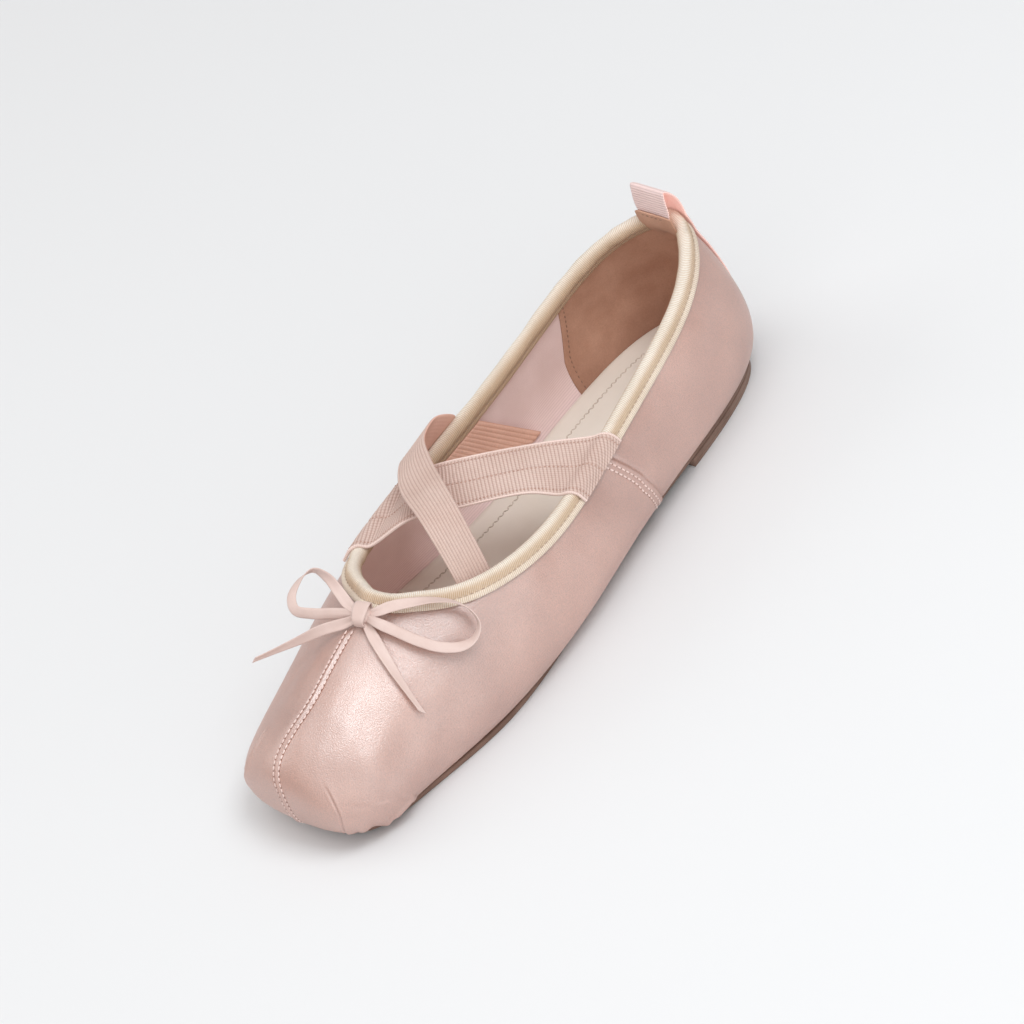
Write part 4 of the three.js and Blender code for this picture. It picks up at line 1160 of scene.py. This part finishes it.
# Plates between a left and a right outline: each ring goes over the top from left to right and back underneath.
def platePiece(name, topLeft, topRight, lowLeft, lowRight, side, material, node, across=40):
    w = np.linspace(0, 1, across)[None, :, None]
    over = mix(topLeft[:, None], topRight[:, None], w)
    under = mix(lowRight[:, None], lowLeft[:, None], w)
    rightSide = [mix(topRight, lowRight, f) + o for f, o in side(-1)]
    leftSide = [mix(lowLeft, topLeft, 1 - f) + o for f, o in side(1)][::-1]
    points = np.concatenate([over, np.stack(rightSide, 1), under, np.stack(leftSide, 1)], 1)
    tubePiece(name, points, [finish[material]], node)


# Sole and heel; each edge row is the share down the side and how far out it stands there.
sole = {"rows": 260, "edgeRound": 0.35, "topInset": 0.3, "footInset": 0.4,
        "edge": [(0.25, 0.8), (0.5, 1.0), (0.75, 0.8)],
        "heelRows": 120, "heelAcross": 30, "heelInset": 0.2, "breastSteps": 2000,
        "heelEdge": [(0.1, 0.1), (0.3, 0.15), (0.45, 0.12), (0.5, -0.12), (0.55, 0.12), (0.75, 0.15),
                     (0.92, 0.1)]}


# Place s round the shoe for a share u from the heel to the toe on one side.
def ringSide(u, side):
    return u * sideCount if side > 0 else ringCount - u * sideCount


# Outline of the sole: the last's widest outline drawn in.
def soleEdge(s, inset):
    flat = np.stack([ring["x"](s), ring["y"](s), np.zeros_like(s)], -1)
    return flat - outward(s) * (ring["soleIn"](s) + inset)[..., None]


# Outsole: a plate that follows the underside, its edge slightly round.
def solePiece():
    u = closeAtEnds(sole["rows"])

    def level(side, rise, inset):
        p = soleEdge(ringSide(u, side), np.full_like(u, inset))
        p[:, 2] = soleBottom(p[:, 0]) + rise
        return p

    def edges(side):
        bulge = outward(ringSide(u, side)) * sole["edgeRound"]
        return [(f, bulge * out) for f, out in sole["edge"]]
    thick, topIn, footIn = shoe["soleThick"], sole["topInset"], sole["footInset"]
    platePiece("sole_plate", level(1, thick, topIn), level(-1, thick, topIn), level(1, 0, footIn),
               level(-1, 0, footIn), edges, "sole", "outsole")


# Heel lift: a block to the breast line, with a groove round it between its two layers.
def heelPiece():
    share = closeAtEnds(sole["heelRows"], 0.5)
    share = share / share[-1]
    fine = np.linspace(0, sideCount / 2, sole["breastSteps"])
    places = {}
    for side in (1, -1):                     # from the back of the heel to the breast line
        x = soleEdge(ringSide(fine / sideCount, side), np.zeros_like(fine))[:, 0]
        breast = np.interp(shoe["heelBreast"], x, fine)
        places[side] = ringSide(share * breast / sideCount, side)

    def level(side, z, inset):
        p = soleEdge(places[side], np.full_like(share, inset))
        p[:, 2] = z
        return p

    def edges(side):
        return [(f, outward(places[side]) * out) for f, out in sole["heelEdge"]]
    top = shoe["heelHeight"] - shoe["gap"]
    inset, taper = sole["heelInset"], shoe["heelTaper"]
    platePiece("heel_block", level(1, top, inset), level(-1, top, inset), level(1, 0, taper),
               level(-1, 0, taper), edges, "heel", "heel_lift", sole["heelAcross"])


solePiece()
heelPiece()
print("sole and heel set")

# Insole: out to the wall, slightly dished, with a zigzag line of stitching inside its edge.
insole = {"rows": 200, "wallGap": 0.55, "topDrawn": 0.5, "edge": [(0.12, 0.42), (0.3, 0.3), (0.6, 0.1)],
          "inset": 8.5, "zigzag": 1.1, "pitch": 2.6, "stitchSteps": 1401, "stitchLift": 0.06,
          "stitch": {"length": 1.6, "radius": 0.27}}


# Edge of the insole at a rise: the inside of the wall at that height, drawn in by shrink.
def insoleEdge(u, side, rise, shrink=0.0):
    s = ringSide(u, side)
    z = station(s)[0][:, 2] - shoe["gap"] + rise
    depth = np.full_like(s, -shoe["wall"] - insole["wallGap"])
    p = besideWall(s, shareAtHeight(s, z, depth), depth) - outward(s) * shrink
    p[:, 2] = z
    return p


# The footbed plate and its zigzag of stitches.
def insolePiece():
    u = closeAtEnds(insole["rows"])

    def edges(side):
        return [(f, outward(ringSide(u, side)) * out) for f, out in insole["edge"]]
    high, low = shoe["insoleRise"], shoe["insoleRim"]
    drawn = insole["topDrawn"]
    platePiece("foot_bed", insoleEdge(u, 1, high, drawn), insoleEdge(u, -1, high, drawn),
               insoleEdge(u, 1, low), insoleEdge(u, -1, low), edges, "insole", "insole")
    s = np.linspace(0, ringCount, insole["stitchSteps"])
    v = np.where(s <= sideCount, s, ringCount - s) / sideCount
    left, right = [insoleEdge(v, side, high, insole["inset"]) for side in (1, -1)]
    edge = np.where((s <= sideCount)[:, None], left, right)
    run = runLength(edge)
    spots = np.arange(0, run[-1], insole["pitch"] / 2)
    swing = insole["zigzag"] / 2 * np.where(np.arange(len(spots)) % 2, 1, -1)
    corner = atLengths(spots, run, edge) + outward(np.interp(spots, run, s)) * swing[:, None]
    corner = corner + [0, 0, insole["stitchLift"]]
    upright = np.tile([0.0, 0.0, 1.0], (len(spots) - 1, 1))
    row = ((corner[1:] + corner[:-1]) / 2, corner[1:] - corner[:-1], upright)
    stitchPiece("foot_bed_stitches", [row], insole["stitch"], finish["paleThread"], "insole")


insolePiece()
print("insole laid")
